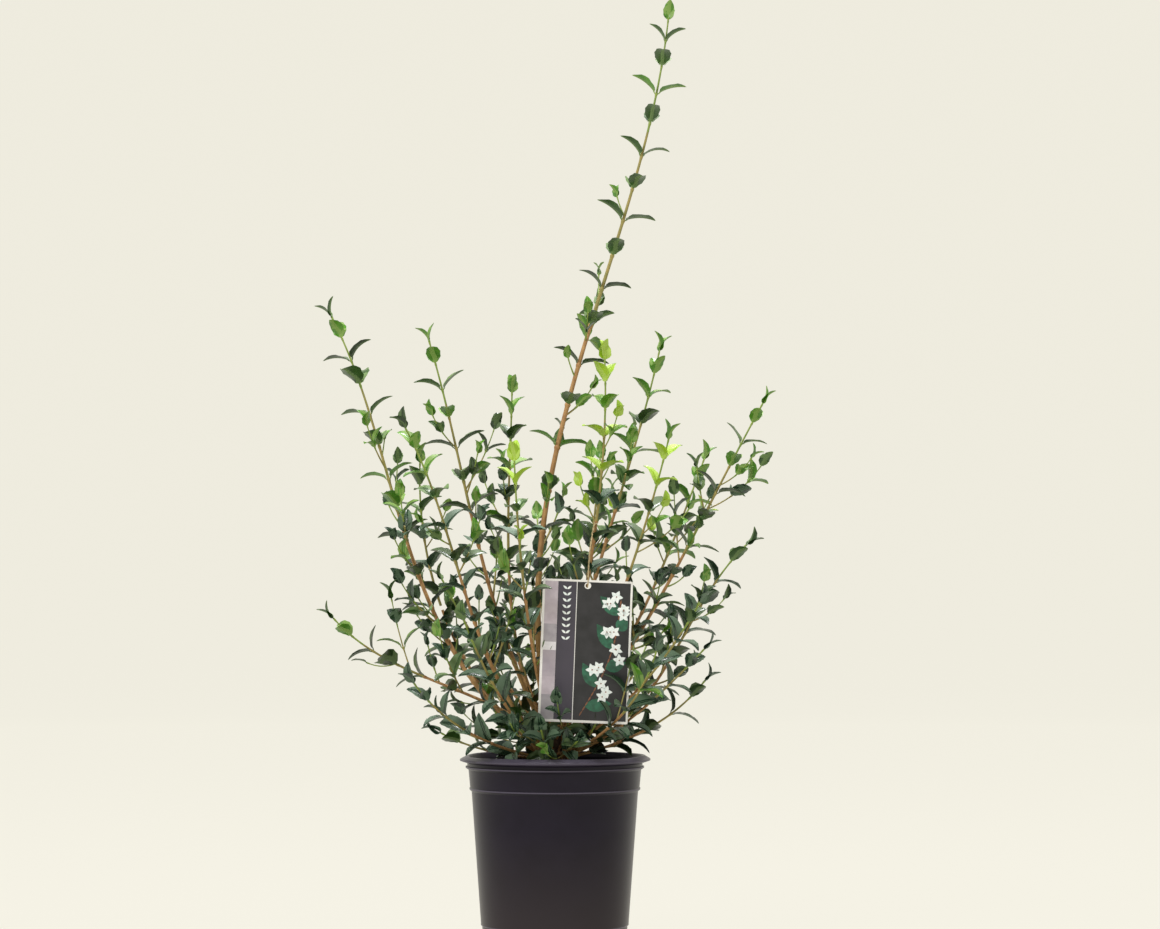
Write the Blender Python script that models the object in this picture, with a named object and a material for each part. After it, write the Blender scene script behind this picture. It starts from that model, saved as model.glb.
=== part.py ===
"""Potted burkwood osmanthus: a young evergreen shrub in a black nursery pot, with a picture label tied to it.

Units are metres and +Z is up. The origin is the centre of the pot's underside.
The photographed side of the plant faces -Y, with +X to its right.
"""

import math
import random
from dataclasses import dataclass

import bmesh
import bpy
from mathutils import Matrix, Vector
from mathutils.bvhtree import BVHTree

MM = 0.001
UP = Vector((0, 0, 1))
SEAT_GAP = 0.3 * MM
MERGE_DISTANCE = 0.01 * MM
SHARP_ANGLE = math.radians(30)

# The pot's lip, neck, band and wall, as radii at heights
POT_SIDES = 32
LIP_RADIUS = 95 * MM
LIP_INNER_RADIUS = 86.3 * MM
LIP_TOP = 190.5 * MM
LIP_EDGE_TOP = 187.0 * MM
LIP_EDGE_BOTTOM = 185.3 * MM
NECK_TOP = 183 * MM
NECK_BOTTOM = 178 * MM
NECK_RADIUS = 88.4 * MM
BAND_TOP = 176.5 * MM
BAND_TOP_RADIUS = 86.0 * MM
BAND_BOTTOM = 157 * MM
BAND_BOTTOM_RADIUS = 84.2 * MM
WALL_TOP = 151 * MM
WALL_TOP_RADIUS = 82.7 * MM
WALL_TAPER = math.tan(math.radians(4.15))
FOOT_TOP = 22 * MM
FOOT_STEP = 1 * MM
POT_WALL = 1.5 * MM
POT_FLOOR = 1.8 * MM
LIP_ROUNDING = 1 * MM
DRAIN_HOLES = 5
DRAIN_RADIUS = 5 * MM
DRAIN_SIDES = 12
DRAIN_RING_RADIUS = 50 * MM

SOIL_TOP = 176 * MM
SOIL_RINGS = (30 * MM, 50 * MM, 70 * MM)
SOIL_BUMP = 1.6 * MM
SOIL_EDGE_DROP = 1.5 * MM
SOIL_FLAT_MARGIN = 3 * MM

# The short stool that all the shoots spring from
TRUNK_SIDES = 12
TRUNK_LEVELS = 7
TRUNK_LEVEL_CROWDING = 1.5
TRUNK_HEIGHT = 42 * MM
TRUNK_RADIUS = 12 * MM
TRUNK_TOP_RADIUS = 10.5 * MM
TRUNK_FLARE = 6 * MM
TRUNK_FLARE_FADE = 4
TRUNK_LOBES = 4
TRUNK_LOBE_DEPTH = 0.16
TRUNK_LOBE_FADE = 3
TRUNK_LOBE_TURN = 0.6
TRUNK_LEAN = 1 * MM

# Stems are tapered limbs: boughs with more sides than the stems and twigs inside the foliage
BOUGH_SIDES = 6
BOUGH_RING_SPACING = 20 * MM
STEM_SIDES = 3
STEM_TIP_RADIUS = 0.75 * MM
STEM_END_MARGIN = 1 * MM
LEAST_FOOT_RADIUS = 1.15 * MM
FOOT_RADIUS_PER_LENGTH = 0.0033

# Leaves and internodes, larger than life by a tenth or so because there are fewer of them
LEAF_LENGTH = 36 * MM
LEAF_WIDTH_SHARE = 0.5
LEAF_THICKNESS = 0.9 * MM
LEAF_WIDEST = 0.42
LEAF_ARCH = 0.10
LEAF_TIP_DROP = 0.03
YOUNG_LEAF_SHARE = 0.62
YOUNG_INTERNODE = 24 * MM
FULL_INTERNODE = 38 * MM
TWIG_INTERNODE = 29 * MM
FIRST_PAIR = 12 * MM
TIP_BUD = 5 * MM
ROOT_OFFSET = 0.15 * MM
LEAF_CLEARANCE = 0.8 * MM
LOWEST_LEAF = 183 * MM
LEAF_SINK = 0.12
LEAF_STEEPEST_DROP = -0.3
LEAF_LEVELLING = 0.7
LEAF_TURNS = (0, 14, -14, 28, -28, 42, -42)

# Leaves grow to full size over the first few pairs below a tip, and open out from the stem
PAIRS_TO_FULL_SIZE = 3
PAIRS_TO_FULL_LIFT = 2
TIP_LIFT = 24
FULL_LIFT = 60
LIFT_VARIATION = 6
PAIR_TURN_VARIATION = 10
LEAF_VARIATION = 0.06
INTERNODE_VARIATION = 0.1

# Side twigs leave the lower part of a shoot's foliage and turn upwards
TWIG_SPAN_SHARE = 0.62
TWIG_PLACE_RANGE = (0.25, 0.75)
TWIG_ANGLE = math.radians(48)
TWIG_LENGTHS = (52 * MM, 78 * MM)
TWIG_RADIUS_SHARE = 0.62
TWIG_TIP_RADIUS = 0.68 * MM
TWIG_FIRST_PAIR = 14 * MM
TWIG_PAIR_PHASE = 90
TWIG_UPTURN = 0.9
TWIG_TURNS = (0, 70, -70, 140, -140)
GOLDEN_ANGLE = 137.5

# The label and its tie
LABEL_WIDTH = 88 * MM
LABEL_HEIGHT = 140 * MM
LABEL_THICKNESS = 0.6 * MM
LABEL_CORNER = 1.5 * MM
LABEL_HOLE_RADIUS = 2.2 * MM
LABEL_HOLE_DROP = 5.5 * MM
LABEL_HOLE_AT = Vector((32.7, -64, 359)) * MM
LABEL_TURN = math.radians(2.2)
LABEL_TILT = math.radians(4)
TIE_RADIUS = 0.55 * MM
TIE_HEIGHT = 421 * MM
TIE_STRAND_GAP = 1.3 * MM
TIE_RING_ANGLES = range(-105, 106, 30)
TIE_RING_DROP = 2 * MM
TIE_CARD_MARGIN = 0.1 * MM
TIE_TURN_SHARE = 0.55
TIE_TURN_DROP = 0.7 * MM
TIE_CARD_RISE = 1 * MM
TIE_GATHER_SHARE = 0.62
TIE_SHOOT = "front_tall"


@dataclass(frozen=True)
class Shoot:
    """One shoot: its heading in degrees, its length in millimetres, and how far it leans from upright.

    The three leans are at its foot, middle and tip. A shoot with a bare length has a bough of that
    length below its foliage. Side twigs are counted, and colour runs from 0, old, to 1, lime.
    """

    name: str
    heading: float
    length: float
    leans: tuple
    foot: float
    bare: float = 0
    twigs: int = 1
    lime: float = 0.0
    phase: float = 0
    offset: float = 0


# Heights of the feet above the soil, inside the trunk, in millimetres
LOW, MIDDLE, HIGH, CROWN = 9, 15, 21, 32

SHOOTS = (
    Shoot("leader", 6, 745, (-16, 16, 6), CROWN, bare=120, twigs=2, phase=90),
    Shoot("left_tall", 170, 495, (62, 19, 28), MIDDLE, bare=120, twigs=3),
    Shoot("right_tall", -6, 405, (42, 29, 29), HIGH, bare=105, twigs=3),
    Shoot("left_inner", -169, 415, (30, 14, 17), CROWN, bare=100, twigs=2, offset=5.5),
    Shoot("right_upright", 29, 410, (9, 19, 14), CROWN, bare=105, twigs=2, offset=5.5),
    Shoot("left_front", -141, 375, (57, 22, 35), MIDDLE, bare=80, twigs=2),
    Shoot("front_tall", -50, 385, (16, 13, -4), CROWN, bare=100, twigs=2, lime=0.6, offset=5.5),
    Shoot("right_front", -39, 345, (31, 25, 17), MIDDLE, bare=95, twigs=2, lime=0.3),
    Shoot("back_left", 123, 390, (55, 6, -2), HIGH, bare=100, twigs=2),
    Shoot("left_back", 148, 365, (61, 28, -3), LOW, bare=90, twigs=2),
    Shoot("right_back", 33, 350, (47, 30, 24), HIGH, bare=95, twigs=2, lime=0.3),
    Shoot("front_slender", -110, 310, (39, 21, 6), HIGH, bare=75, twigs=2, lime=0.8),
    Shoot("right_spreading", 17, 305, (84, 33, 49), MIDDLE, bare=90, twigs=2),
    Shoot("left_low", -175, 260, (44, 68, 40), HIGH, bare=75, twigs=2),
    Shoot("back_spreading", 96, 315, (60, 36, 30), MIDDLE, bare=80, twigs=2),
    Shoot("back_upright", 70, 330, (42, 22, 16), HIGH, bare=85, twigs=2),
    Shoot("left_short", 158, 200, (45, 37, 28), CROWN, offset=5),
    Shoot("right_low_front", -20, 195, (72, 52, 45), LOW),
    Shoot("right_low", 5, 175, (78, 64, 36), LOW),
    Shoot("front_right_short", -47, 190, (71, 55, 20), LOW),
    Shoot("back_left_low", 118, 215, (72, 60, 38), LOW),
    Shoot("back_right_low", 59, 220, (72, 60, 38), LOW),
    Shoot("front_left_low", -122, 220, (66, 48, 34), LOW),
    Shoot("left_front_low", -145, 190, (80, 66, 38), LOW),
    Shoot("front_right_low", -36, 235, (66, 48, 34), MIDDLE),
    Shoot("inner_left", -140, 120, (30, 24, 14), CROWN, offset=6),
    Shoot("inner_back", 95, 165, (24, 18, 10), CROWN, offset=6),
    Shoot("inner_right", -2, 150, (18, 30, 16), CROWN, offset=5),
    Shoot("inner_front", -78, 105, (48, 16, 4), HIGH),
    Shoot("left_rim", 178, 120, (84, 78, 60), LOW),
    Shoot("back_rim", 84, 130, (84, 76, 58), LOW),
    Shoot("front_rim", -76, 95, (84, 80, 68), MIDDLE),
    Shoot("front_low", -98, 100, (80, 70, 52), LOW),
    Shoot("inner_left_low", -164, 85, (70, 50, 30), LOW),
    Shoot("inner_right_low", 38, 98, (66, 50, 30), LOW),
    Shoot("inner_core", 62, 115, (20, 14, 8), CROWN, offset=6),
)

# The photographed colours, as sRGB hex values, and how rough each surface is
POT_COLOUR = "2E2B30"
POT_ROUGHNESS = 0.42
SOIL_COLOUR = "1C1713"
SOIL_ROUGHNESS = 0.95
WOOD_COLOUR = "8A6A45"
WOOD_ROUGHNESS = 0.72
OLD_LEAF_COLOUR = "36522F"
LIME_LEAF_COLOUR = "8FB32A"
LEAF_ROUGHNESS = 0.4
LABEL_COLOUR = "3A3B3E"
LABEL_ROUGHNESS = 0.35
TIE_COLOUR = "D9CDB0"
TIE_ROUGHNESS = 0.8


def linear_colour(hex_value):
    """The sRGB hex value as a linear colour with full alpha."""
    channels = [int(hex_value[place:place + 2], 16) / 255 for place in (0, 2, 4)]
    return [((c + 0.055) / 1.055) ** 2.4 if c > 0.04045 else c / 12.92 for c in channels] + [1.0]


def blended(first, second, share):
    """A colour part of the way from the first to the second."""
    return [a + (b - a) * share for a, b in zip(first, second)]


def dress(obj, colour, roughness):
    """Gives the object a material of its own."""
    material = bpy.data.materials.new(obj.name + "_surface")
    material.use_nodes = True
    shader = material.node_tree.nodes["Principled BSDF"]
    shader.inputs["Base Color"].default_value = colour
    shader.inputs["Roughness"].default_value = roughness
    obj.data.materials.clear()
    obj.data.materials.append(material)
    return obj


def add_object(name, points, faces, collection=None):
    """A mesh object from points and faces, with its faces pointing out."""
    mesh = bpy.data.meshes.new(name)
    mesh.from_pydata([tuple(point) for point in points], [], faces)
    work = bmesh.new()
    work.from_mesh(mesh)
    bmesh.ops.recalc_face_normals(work, faces=work.faces)
    work.to_mesh(mesh)
    work.free()
    obj = bpy.data.objects.new(name, mesh)
    (collection or bpy.context.scene.collection).objects.link(obj)
    return obj


def remove_object(obj):
    """Removes the object and its mesh."""
    mesh = obj.data
    bpy.data.objects.remove(obj)
    bpy.data.meshes.remove(mesh)


def tree_of(points, faces):
    """A search tree over the faces, for touch tests."""
    return BVHTree.FromPolygons([tuple(point) for point in points], faces)


def turned(name, outline, sides):
    """A solid of revolution about Z from (radius, height) points that start and end on the axis."""
    work = bmesh.new()
    verts = [work.verts.new((radius, 0, height)) for radius, height in outline]
    edges = [work.edges.new(pair) for pair in zip(verts, verts[1:])]
    bmesh.ops.spin(work, geom=verts + edges, axis=UP, cent=(0, 0, 0), angle=2 * math.pi, steps=sides)
    bmesh.ops.remove_doubles(work, verts=work.verts, dist=MERGE_DISTANCE)
    bmesh.ops.recalc_face_normals(work, faces=work.faces)
    mesh = bpy.data.meshes.new(name)
    work.to_mesh(mesh)
    work.free()
    mesh.shade_smooth()
    mesh.set_sharp_from_angle(angle=SHARP_ANGLE)
    obj = bpy.data.objects.new(name, mesh)
    bpy.context.scene.collection.objects.link(obj)
    return obj


def wall_radius(height):
    """The outer radius of the pot's plain wall, which widens upwards."""
    return WALL_TOP_RADIUS - (WALL_TOP - height) * WALL_TAPER


def inner_outline():
    """The pot's inner wall, from its floor up to the band's top."""
    thick_wall = POT_WALL + FOOT_STEP
    over_foot = FOOT_TOP + 2 * FOOT_STEP
    return [
        (wall_radius(POT_FLOOR) - thick_wall, POT_FLOOR),
        (wall_radius(over_foot) - thick_wall, over_foot),
        (wall_radius(over_foot + POT_WALL) - POT_WALL, over_foot + POT_WALL),
        (WALL_TOP_RADIUS - POT_WALL, WALL_TOP),
        (BAND_BOTTOM_RADIUS - POT_WALL, BAND_BOTTOM),
        (BAND_TOP_RADIUS - POT_WALL, BAND_TOP),
    ]


def make_pot():
    """The pot: a foot, a tapered wall, a band, a neck and a turned-out lip, with drain holes in its floor."""
    foot_radius = wall_radius(0) - FOOT_STEP
    outer = [
        (0, 0),
        (foot_radius - FOOT_STEP, 0),
        (foot_radius, FOOT_STEP),
        (wall_radius(FOOT_TOP) - FOOT_STEP, FOOT_TOP),
        (wall_radius(FOOT_TOP + FOOT_STEP), FOOT_TOP + FOOT_STEP),
        (WALL_TOP_RADIUS, WALL_TOP),
        (BAND_BOTTOM_RADIUS, BAND_BOTTOM),
        (BAND_TOP_RADIUS, BAND_TOP),
        (NECK_RADIUS, NECK_BOTTOM),
        (NECK_RADIUS, NECK_TOP),
        (LIP_RADIUS, LIP_EDGE_BOTTOM),
        (LIP_RADIUS, LIP_EDGE_TOP),
        (LIP_INNER_RADIUS + LIP_ROUNDING, LIP_TOP),
        (LIP_INNER_RADIUS, LIP_TOP - LIP_ROUNDING),
    ]
    inner = inner_outline()[::-1] + [(0, POT_FLOOR)]
    pot = turned("pot", outer + inner, POT_SIDES)
    for index in range(DRAIN_HOLES):
        turn = Matrix.Rotation(2 * math.pi * index / DRAIN_HOLES, 4, "Z")
        place = turn @ Matrix.Translation((DRAIN_RING_RADIUS, 0, POT_FLOOR / 2))
        cut_round_hole(pot, place, DRAIN_RADIUS, 4 * POT_FLOOR)
    return dress(pot, linear_colour(POT_COLOUR), POT_ROUGHNESS)


def cut_round_hole(obj, place, radius, depth):
    """Cuts a round hole along the local Z axis of the place."""
    work = bmesh.new()
    bmesh.ops.create_cone(
        work, cap_ends=True, segments=DRAIN_SIDES, radius1=radius, radius2=radius, depth=depth, matrix=place
    )
    mesh = bpy.data.meshes.new("hole")
    work.to_mesh(mesh)
    work.free()
    cutter = bpy.data.objects.new("hole", mesh)
    bpy.context.scene.collection.objects.link(cutter)
    apply_boolean(obj, "DIFFERENCE", cutter)
    remove_object(cutter)


def apply_boolean(obj, operation, other=None, collection=None, solver="EXACT"):
    """Applies one Boolean to the object, with another object or a whole collection."""
    modifier = obj.modifiers.new(operation.lower(), "BOOLEAN")
    modifier.operation = operation
    modifier.solver = solver
    if collection:
        modifier.operand_type = "COLLECTION"
        modifier.collection = collection
    else:
        modifier.object = other
    bpy.context.view_layer.update()
    graph = bpy.context.evaluated_depsgraph_get()
    before = obj.data
    joined = bpy.data.meshes.new_from_object(obj.evaluated_get(graph))
    obj.modifiers.clear()
    obj.data = joined
    bpy.data.meshes.remove(before)
    joined.name = obj.name


def make_soil():
    """The potting soil: it fills the pot and is lumpy on top, but flat where the trunk stands."""
    lump = random.Random("soil")
    sides = [(radius - SEAT_GAP, max(height, POT_FLOOR + SEAT_GAP)) for radius, height in inner_outline()]
    edge_height = SOIL_TOP - SOIL_EDGE_DROP
    edge_share = (edge_height - BAND_BOTTOM) / (BAND_TOP - BAND_BOTTOM)
    low_radius, high_radius = sides[-2][0], sides[-1][0]
    sides[-1] = (low_radius + (high_radius - low_radius) * edge_share, edge_height)
    top = [(radius, SOIL_TOP) for radius in SOIL_RINGS[::-1]]
    flat_radius = TRUNK_RADIUS + TRUNK_FLARE + SOIL_FLAT_MARGIN
    outline = [(0, POT_FLOOR + SEAT_GAP)] + sides + top + [(flat_radius, SOIL_TOP), (0, SOIL_TOP)]
    soil = turned("potting_soil", outline, POT_SIDES // 2)
    for vert in soil.data.vertices:
        outside_flat = vert.co.xy.length > flat_radius + MERGE_DISTANCE
        if vert.co.z > edge_height + MERGE_DISTANCE and outside_flat:
            vert.co.z += lump.uniform(-SOIL_BUMP, SOIL_BUMP)
    return dress(soil, linear_colour(SOIL_COLOUR), SOIL_ROUGHNESS)


def trunk_shape(grown=0.0):
    """Points and faces of the trunk, optionally grown outwards by a margin."""
    points = []
    for level in range(TRUNK_LEVELS):
        share = level / (TRUNK_LEVELS - 1)
        height = TRUNK_HEIGHT * share ** TRUNK_LEVEL_CROWDING
        flare = TRUNK_FLARE * (1 - share) ** TRUNK_FLARE_FADE
        lobe_depth = TRUNK_LOBE_DEPTH * (1 - share) ** TRUNK_LOBE_FADE
        radius = TRUNK_RADIUS + (TRUNK_TOP_RADIUS - TRUNK_RADIUS) * share + flare
        z = SOIL_TOP + SEAT_GAP + height + grown * (2 * share - 1)
        for side in range(TRUNK_SIDES):
            angle = 2 * math.pi * side / TRUNK_SIDES
            lobe = 1 + lobe_depth * math.cos(TRUNK_LOBES * angle + TRUNK_LOBE_TURN)
            reach = radius * lobe + grown
            lean = TRUNK_LEAN * share
            points.append(Vector((reach * math.cos(angle) - lean, reach * math.sin(angle), z)))
    faces = [tuple(range(TRUNK_SIDES))[::-1]]
    for level in range(TRUNK_LEVELS - 1):
        for side in range(TRUNK_SIDES):
            low, low_next = level * TRUNK_SIDES + side, level * TRUNK_SIDES + (side + 1) % TRUNK_SIDES
            faces.append((low, low_next, low_next + TRUNK_SIDES, low + TRUNK_SIDES))
    faces.append(tuple((TRUNK_LEVELS - 1) * TRUNK_SIDES + side for side in range(TRUNK_SIDES)))
    return points, faces


class Line:
    """A smooth middle line: points at even steps, with the direction at each."""

    STEP = 2 * MM

    def __init__(self, points, directions):
        self.points = points
        self.directions = directions
        self.length = (len(points) - 1) * self.STEP

    def at(self, distance):
        """The point and direction at a distance along the line."""
        place = min(max(distance / self.STEP, 0), len(self.points) - 1.001)
        index = int(place)
        share = place - index
        point = self.points[index].lerp(self.points[index + 1], share)
        direction = self.directions[index].lerp(self.directions[index + 1], share).normalized()
        return point, direction


def shoot_line(shoot):
    """The middle line of a shoot: it stays in one upright plane and its lean changes smoothly."""
    heading = math.radians(shoot.heading)
    out = Vector((math.cos(heading), math.sin(heading), 0))
    point = out * shoot.offset * MM + UP * (SOIL_TOP + shoot.foot * MM)
    foot, middle, tip = shoot.leans
    steps = round(shoot.length * MM / Line.STEP)
    points, directions = [], []
    for step in range(steps + 1):
        t = step / steps
        lean = math.radians(foot * (1 - t) * (1 - 2 * t) + middle * 4 * t * (1 - t) + tip * t * (2 * t - 1))
        direction = out * math.sin(lean) + UP * math.cos(lean)
        points.append(point)
        directions.append(direction)
        point = point + direction * Line.STEP
    return Line(points, directions)


def twig_line(start, direction, length):
    """The middle line of a side twig, which turns upwards as it grows."""
    target = (direction + UP * TWIG_UPTURN).normalized()
    steps = max(2, round(length / Line.STEP))
    point = start.copy()
    points, directions = [], []
    for step in range(steps + 1):
        heading = direction.lerp(target, step / steps).normalized()
        points.append(point)
        directions.append(heading)
        point = point + heading * Line.STEP
    return Line(points, directions)


def tube_shape(line, start, end, start_radius, end_radius, sides, spacing):
    """Points and faces of a tapered limb with flat ends, along a stretch of a line."""
    rings = max(1, round((end - start) / spacing))
    side_way = line.at(start)[1].orthogonal().normalized()
    points = []
    for ring in range(rings + 1):
        share = ring / rings
        centre, direction = line.at(start + (end - start) * share)
        side_way = (side_way - direction * side_way.dot(direction)).normalized()
        other_way = direction.cross(side_way)
        radius = start_radius + (end_radius - start_radius) * share
        for side in range(sides):
            angle = 2 * math.pi * side / sides
            points.append(centre + side_way * radius * math.cos(angle) + other_way * radius * math.sin(angle))
    faces = [tuple(range(sides))[::-1]]
    for ring in range(rings):
        for side in range(sides):
            low, low_next = ring * sides + side, ring * sides + (side + 1) % sides
            faces.append((low, low_next, low_next + sides, low + sides))
    faces.append(tuple(rings * sides + side for side in range(sides)))
    return points, faces


def foot_radius(shoot):
    """The radius of a shoot at its foot, which grows with its length."""
    return LEAST_FOOT_RADIUS + FOOT_RADIUS_PER_LENGTH * shoot.length * MM


def radius_along(shoot, share):
    """The radius of a shoot at a share of its length."""
    return foot_radius(shoot) + (STEM_TIP_RADIUS - foot_radius(shoot)) * share


def leaf_shape(root, along, face, length):
    """Points and faces of one leaf: an arched blade that is thickest on its midrib."""
    across = along.cross(face).normalized()
    half_width = length * LEAF_WIDTH_SHARE / 2
    edge = root + along * length * LEAF_WIDEST + face * length * LEAF_ARCH
    points = [
        root,
        root + along * length - face * length * LEAF_TIP_DROP,
        edge - across * half_width,
        edge + across * half_width,
        edge + face * LEAF_THICKNESS,
    ]
    faces = [(0, 2, 4), (0, 4, 3), (0, 3, 2), (1, 4, 2), (1, 3, 4), (1, 2, 3)]
    return points, faces


def leaf_way(direction, side_way, lift, sink):
    """The way a leaf points and the way its upper face looks, from its stem's direction and its side."""
    along = direction * math.cos(lift) + side_way * math.sin(lift) - UP * sink
    along.z = max(along.z, LEAF_STEEPEST_DROP)
    along.normalize()
    face = direction * math.sin(lift) - side_way * math.cos(lift) + UP * LEAF_LEVELLING
    face = (face - along * face.dot(along)).normalized()
    return along, face


class Crown:
    """All that stands in the way of new leaves, and the growing of each mass of foliage."""

    def __init__(self):
        self.limbs = []
        self.leaves = []

    def add_limb(self, owner, points, faces):
        """Remembers a limb, or another solid that leaves keep clear of."""
        self.limbs.append((owner, tree_of(points, faces)))

    def touches(self, owner, points, faces, node=None):
        """Whether a shape comes too close to a limb of another owner, or to any leaf but its twin."""
        middle = sum(points, Vector()) / len(points)
        grown = [point + (point - middle).normalized() * LEAF_CLEARANCE for point in points]
        reach = max((point - middle).length for point in grown)
        tree = tree_of(grown, faces)
        for limb_owner, limb in self.limbs:
            if limb_owner != owner and tree.overlap(limb):
                return True
        for other_node, other_middle, other_reach, other in self.leaves:
            if other_node != node and (other_middle - middle).length < reach + other_reach:
                if tree.overlap(other):
                    return True
        return False

    def place_leaf(self, owner, node, point, direction, side_way, length, lift, sink):
        """The first free one of a few turned places for a leaf, or nothing."""
        for turn in LEAF_TURNS:
            turned_way = Matrix.Rotation(math.radians(turn), 3, direction) @ side_way
            along, face = leaf_way(direction, turned_way, lift, sink)
            points, faces = leaf_shape(point, along, face, length)
            too_low = min(corner.z for corner in points) < LOWEST_LEAF
            if too_low or self.touches(owner, points, faces, node):
                continue
            middle = sum(points, Vector()) / len(points)
            reach = max((corner - middle).length for corner in points)
            self.leaves.append((node, middle, reach, tree_of(points, faces)))
            return points, faces
        return None

    def pairs_along(self, owner, line, start, internode, phase, draw):
        """Pairs of opposite leaves down a line from its tip, each pair crossing the one above it."""
        shapes = []
        distance = line.length - TIP_BUD
        pair = 0
        while distance > start:
            point, direction = line.at(distance)
            level = direction.cross(UP).normalized()
            upright = level.cross(direction)
            growth = min(1, pair / PAIRS_TO_FULL_SIZE)
            length = LEAF_LENGTH * (YOUNG_LEAF_SHARE + (1 - YOUNG_LEAF_SHARE) * growth)
            length *= 1 + draw.uniform(-LEAF_VARIATION, LEAF_VARIATION)
            lift = TIP_LIFT + (FULL_LIFT - TIP_LIFT) * min(1, pair / PAIRS_TO_FULL_LIFT)
            lift = math.radians(lift + draw.uniform(-LIFT_VARIATION, LIFT_VARIATION))
            angle = phase + 90 * pair + draw.uniform(-PAIR_TURN_VARIATION, PAIR_TURN_VARIATION)
            angle = math.radians(angle)
            sink = LEAF_SINK * growth
            for side in (0, math.pi):
                side_way = upright * math.cos(angle + side) + level * math.sin(angle + side)
                node = (owner, round(distance / Line.STEP), point.to_tuple(4))
                root = point + side_way * ROOT_OFFSET
                shape = self.place_leaf(owner, node, root, direction, side_way, length, lift, sink)
                if shape:
                    shapes.append(shape)
            step = YOUNG_INTERNODE + (internode - YOUNG_INTERNODE) * growth
            distance -= step * (1 + draw.uniform(-INTERNODE_VARIATION, INTERNODE_VARIATION))
            pair += 1
        return shapes

    def side_twigs(self, shoot, line, start, draw):
        """Side twigs with their leaves, from the lower two thirds of a shoot's foliage."""
        shapes = []
        owner = shoot.name
        span = (line.length - start) * TWIG_SPAN_SHARE
        for index in range(shoot.twigs):
            distance = start + FIRST_PAIR + span * (index + draw.uniform(*TWIG_PLACE_RANGE)) / shoot.twigs
            point, direction = line.at(distance)
            level = direction.cross(UP).normalized()
            upright = level.cross(direction)
            angle = math.radians(GOLDEN_ANGLE * index + draw.uniform(0, 360))
            for turn in TWIG_TURNS:
                way = angle + math.radians(turn)
                side_way = upright * math.cos(way) + level * math.sin(way)
                heading = direction * math.cos(TWIG_ANGLE) + side_way * math.sin(TWIG_ANGLE)
                twig = twig_line(point, heading, draw.uniform(*TWIG_LENGTHS))
                radius = TWIG_RADIUS_SHARE * radius_along(shoot, distance / line.length)
                stem = tube_shape(twig, 0, twig.length, radius, TWIG_TIP_RADIUS, STEM_SIDES, TWIG_INTERNODE)
                if not self.touches(owner, *stem):
                    self.add_limb(owner, *stem)
                    shapes.append(stem)
                    first = TWIG_FIRST_PAIR
                    shapes += self.pairs_along(owner, twig, first, TWIG_INTERNODE, TWIG_PAIR_PHASE, draw)
                    break
        return shapes


def fuse(name, base, shapes):
    """Joins a stem with its twigs and leaves into one closed body, and drops any loose scrap."""
    for solver in ("EXACT", "MANIFOLD"):
        stem = add_object(name, *base)
        collection = bpy.data.collections.new(name + "_pieces")
        bpy.context.scene.collection.children.link(collection)
        pieces = [add_object("piece", *shape, collection) for shape in shapes]
        apply_boolean(stem, "UNION", collection=collection, solver=solver)
        for piece in pieces:
            remove_object(piece)
        bpy.data.collections.remove(collection)
        if keep_largest_body(stem):
            return stem
        if solver == "EXACT":
            remove_object(stem)
    print(name, "is not one closed body")
    return stem


def keep_largest_body(obj):
    """Removes all but the largest joined set of faces, and says whether what is left is closed."""
    work = bmesh.new()
    work.from_mesh(obj.data)
    unseen = set(work.faces)
    bodies = []
    while unseen:
        body = [unseen.pop()]
        for face in body:
            neighbours = {other for edge in face.edges for other in edge.link_faces if other in unseen}
            unseen -= neighbours
            body += neighbours
        bodies.append(body)
    largest = max(bodies, key=len)
    loose = [face for body in bodies if body is not largest for face in body]
    bmesh.ops.delete(work, geom=loose, context="FACES")
    closed = all(edge.is_manifold for edge in work.edges)
    work.to_mesh(obj.data)
    work.free()
    return closed


def make_limbs(crown, trunk_room):
    """The boughs, and the stem of each mass, which starts at its bough's tip or at the trunk."""
    stems = {}
    for shoot in SHOOTS:
        line = shoot_line(shoot)
        bare = shoot.bare * MM
        end = line.length - STEM_END_MARGIN
        stem_start = bare + SEAT_GAP if bare else 0
        radii = [radius_along(shoot, distance / line.length) for distance in (0, bare, stem_start, end)]
        stem = tube_shape(line, stem_start, end, radii[2], radii[3], STEM_SIDES, FULL_INTERNODE)
        if bare:
            bough_shape = tube_shape(line, 0, bare, radii[0], radii[1], BOUGH_SIDES, BOUGH_RING_SPACING)
            bough = add_object("bough_" + shoot.name, *bough_shape)
            apply_boolean(bough, "DIFFERENCE", trunk_room)
            keep_largest_body(bough)
            dress(bough, linear_colour(WOOD_COLOUR), WOOD_ROUGHNESS)
            crown.add_limb("bough_" + shoot.name, *bough_shape)
        else:
            stem_object = add_object("stem", *stem)
            apply_boolean(stem_object, "DIFFERENCE", trunk_room)
            keep_largest_body(stem_object)
            points = [vert.co.copy() for vert in stem_object.data.vertices]
            stem = (points, [tuple(face.vertices) for face in stem_object.data.polygons])
            remove_object(stem_object)
        crown.add_limb(shoot.name, *stem)
        stems[shoot.name] = (line, stem_start, stem)
    return stems


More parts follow.
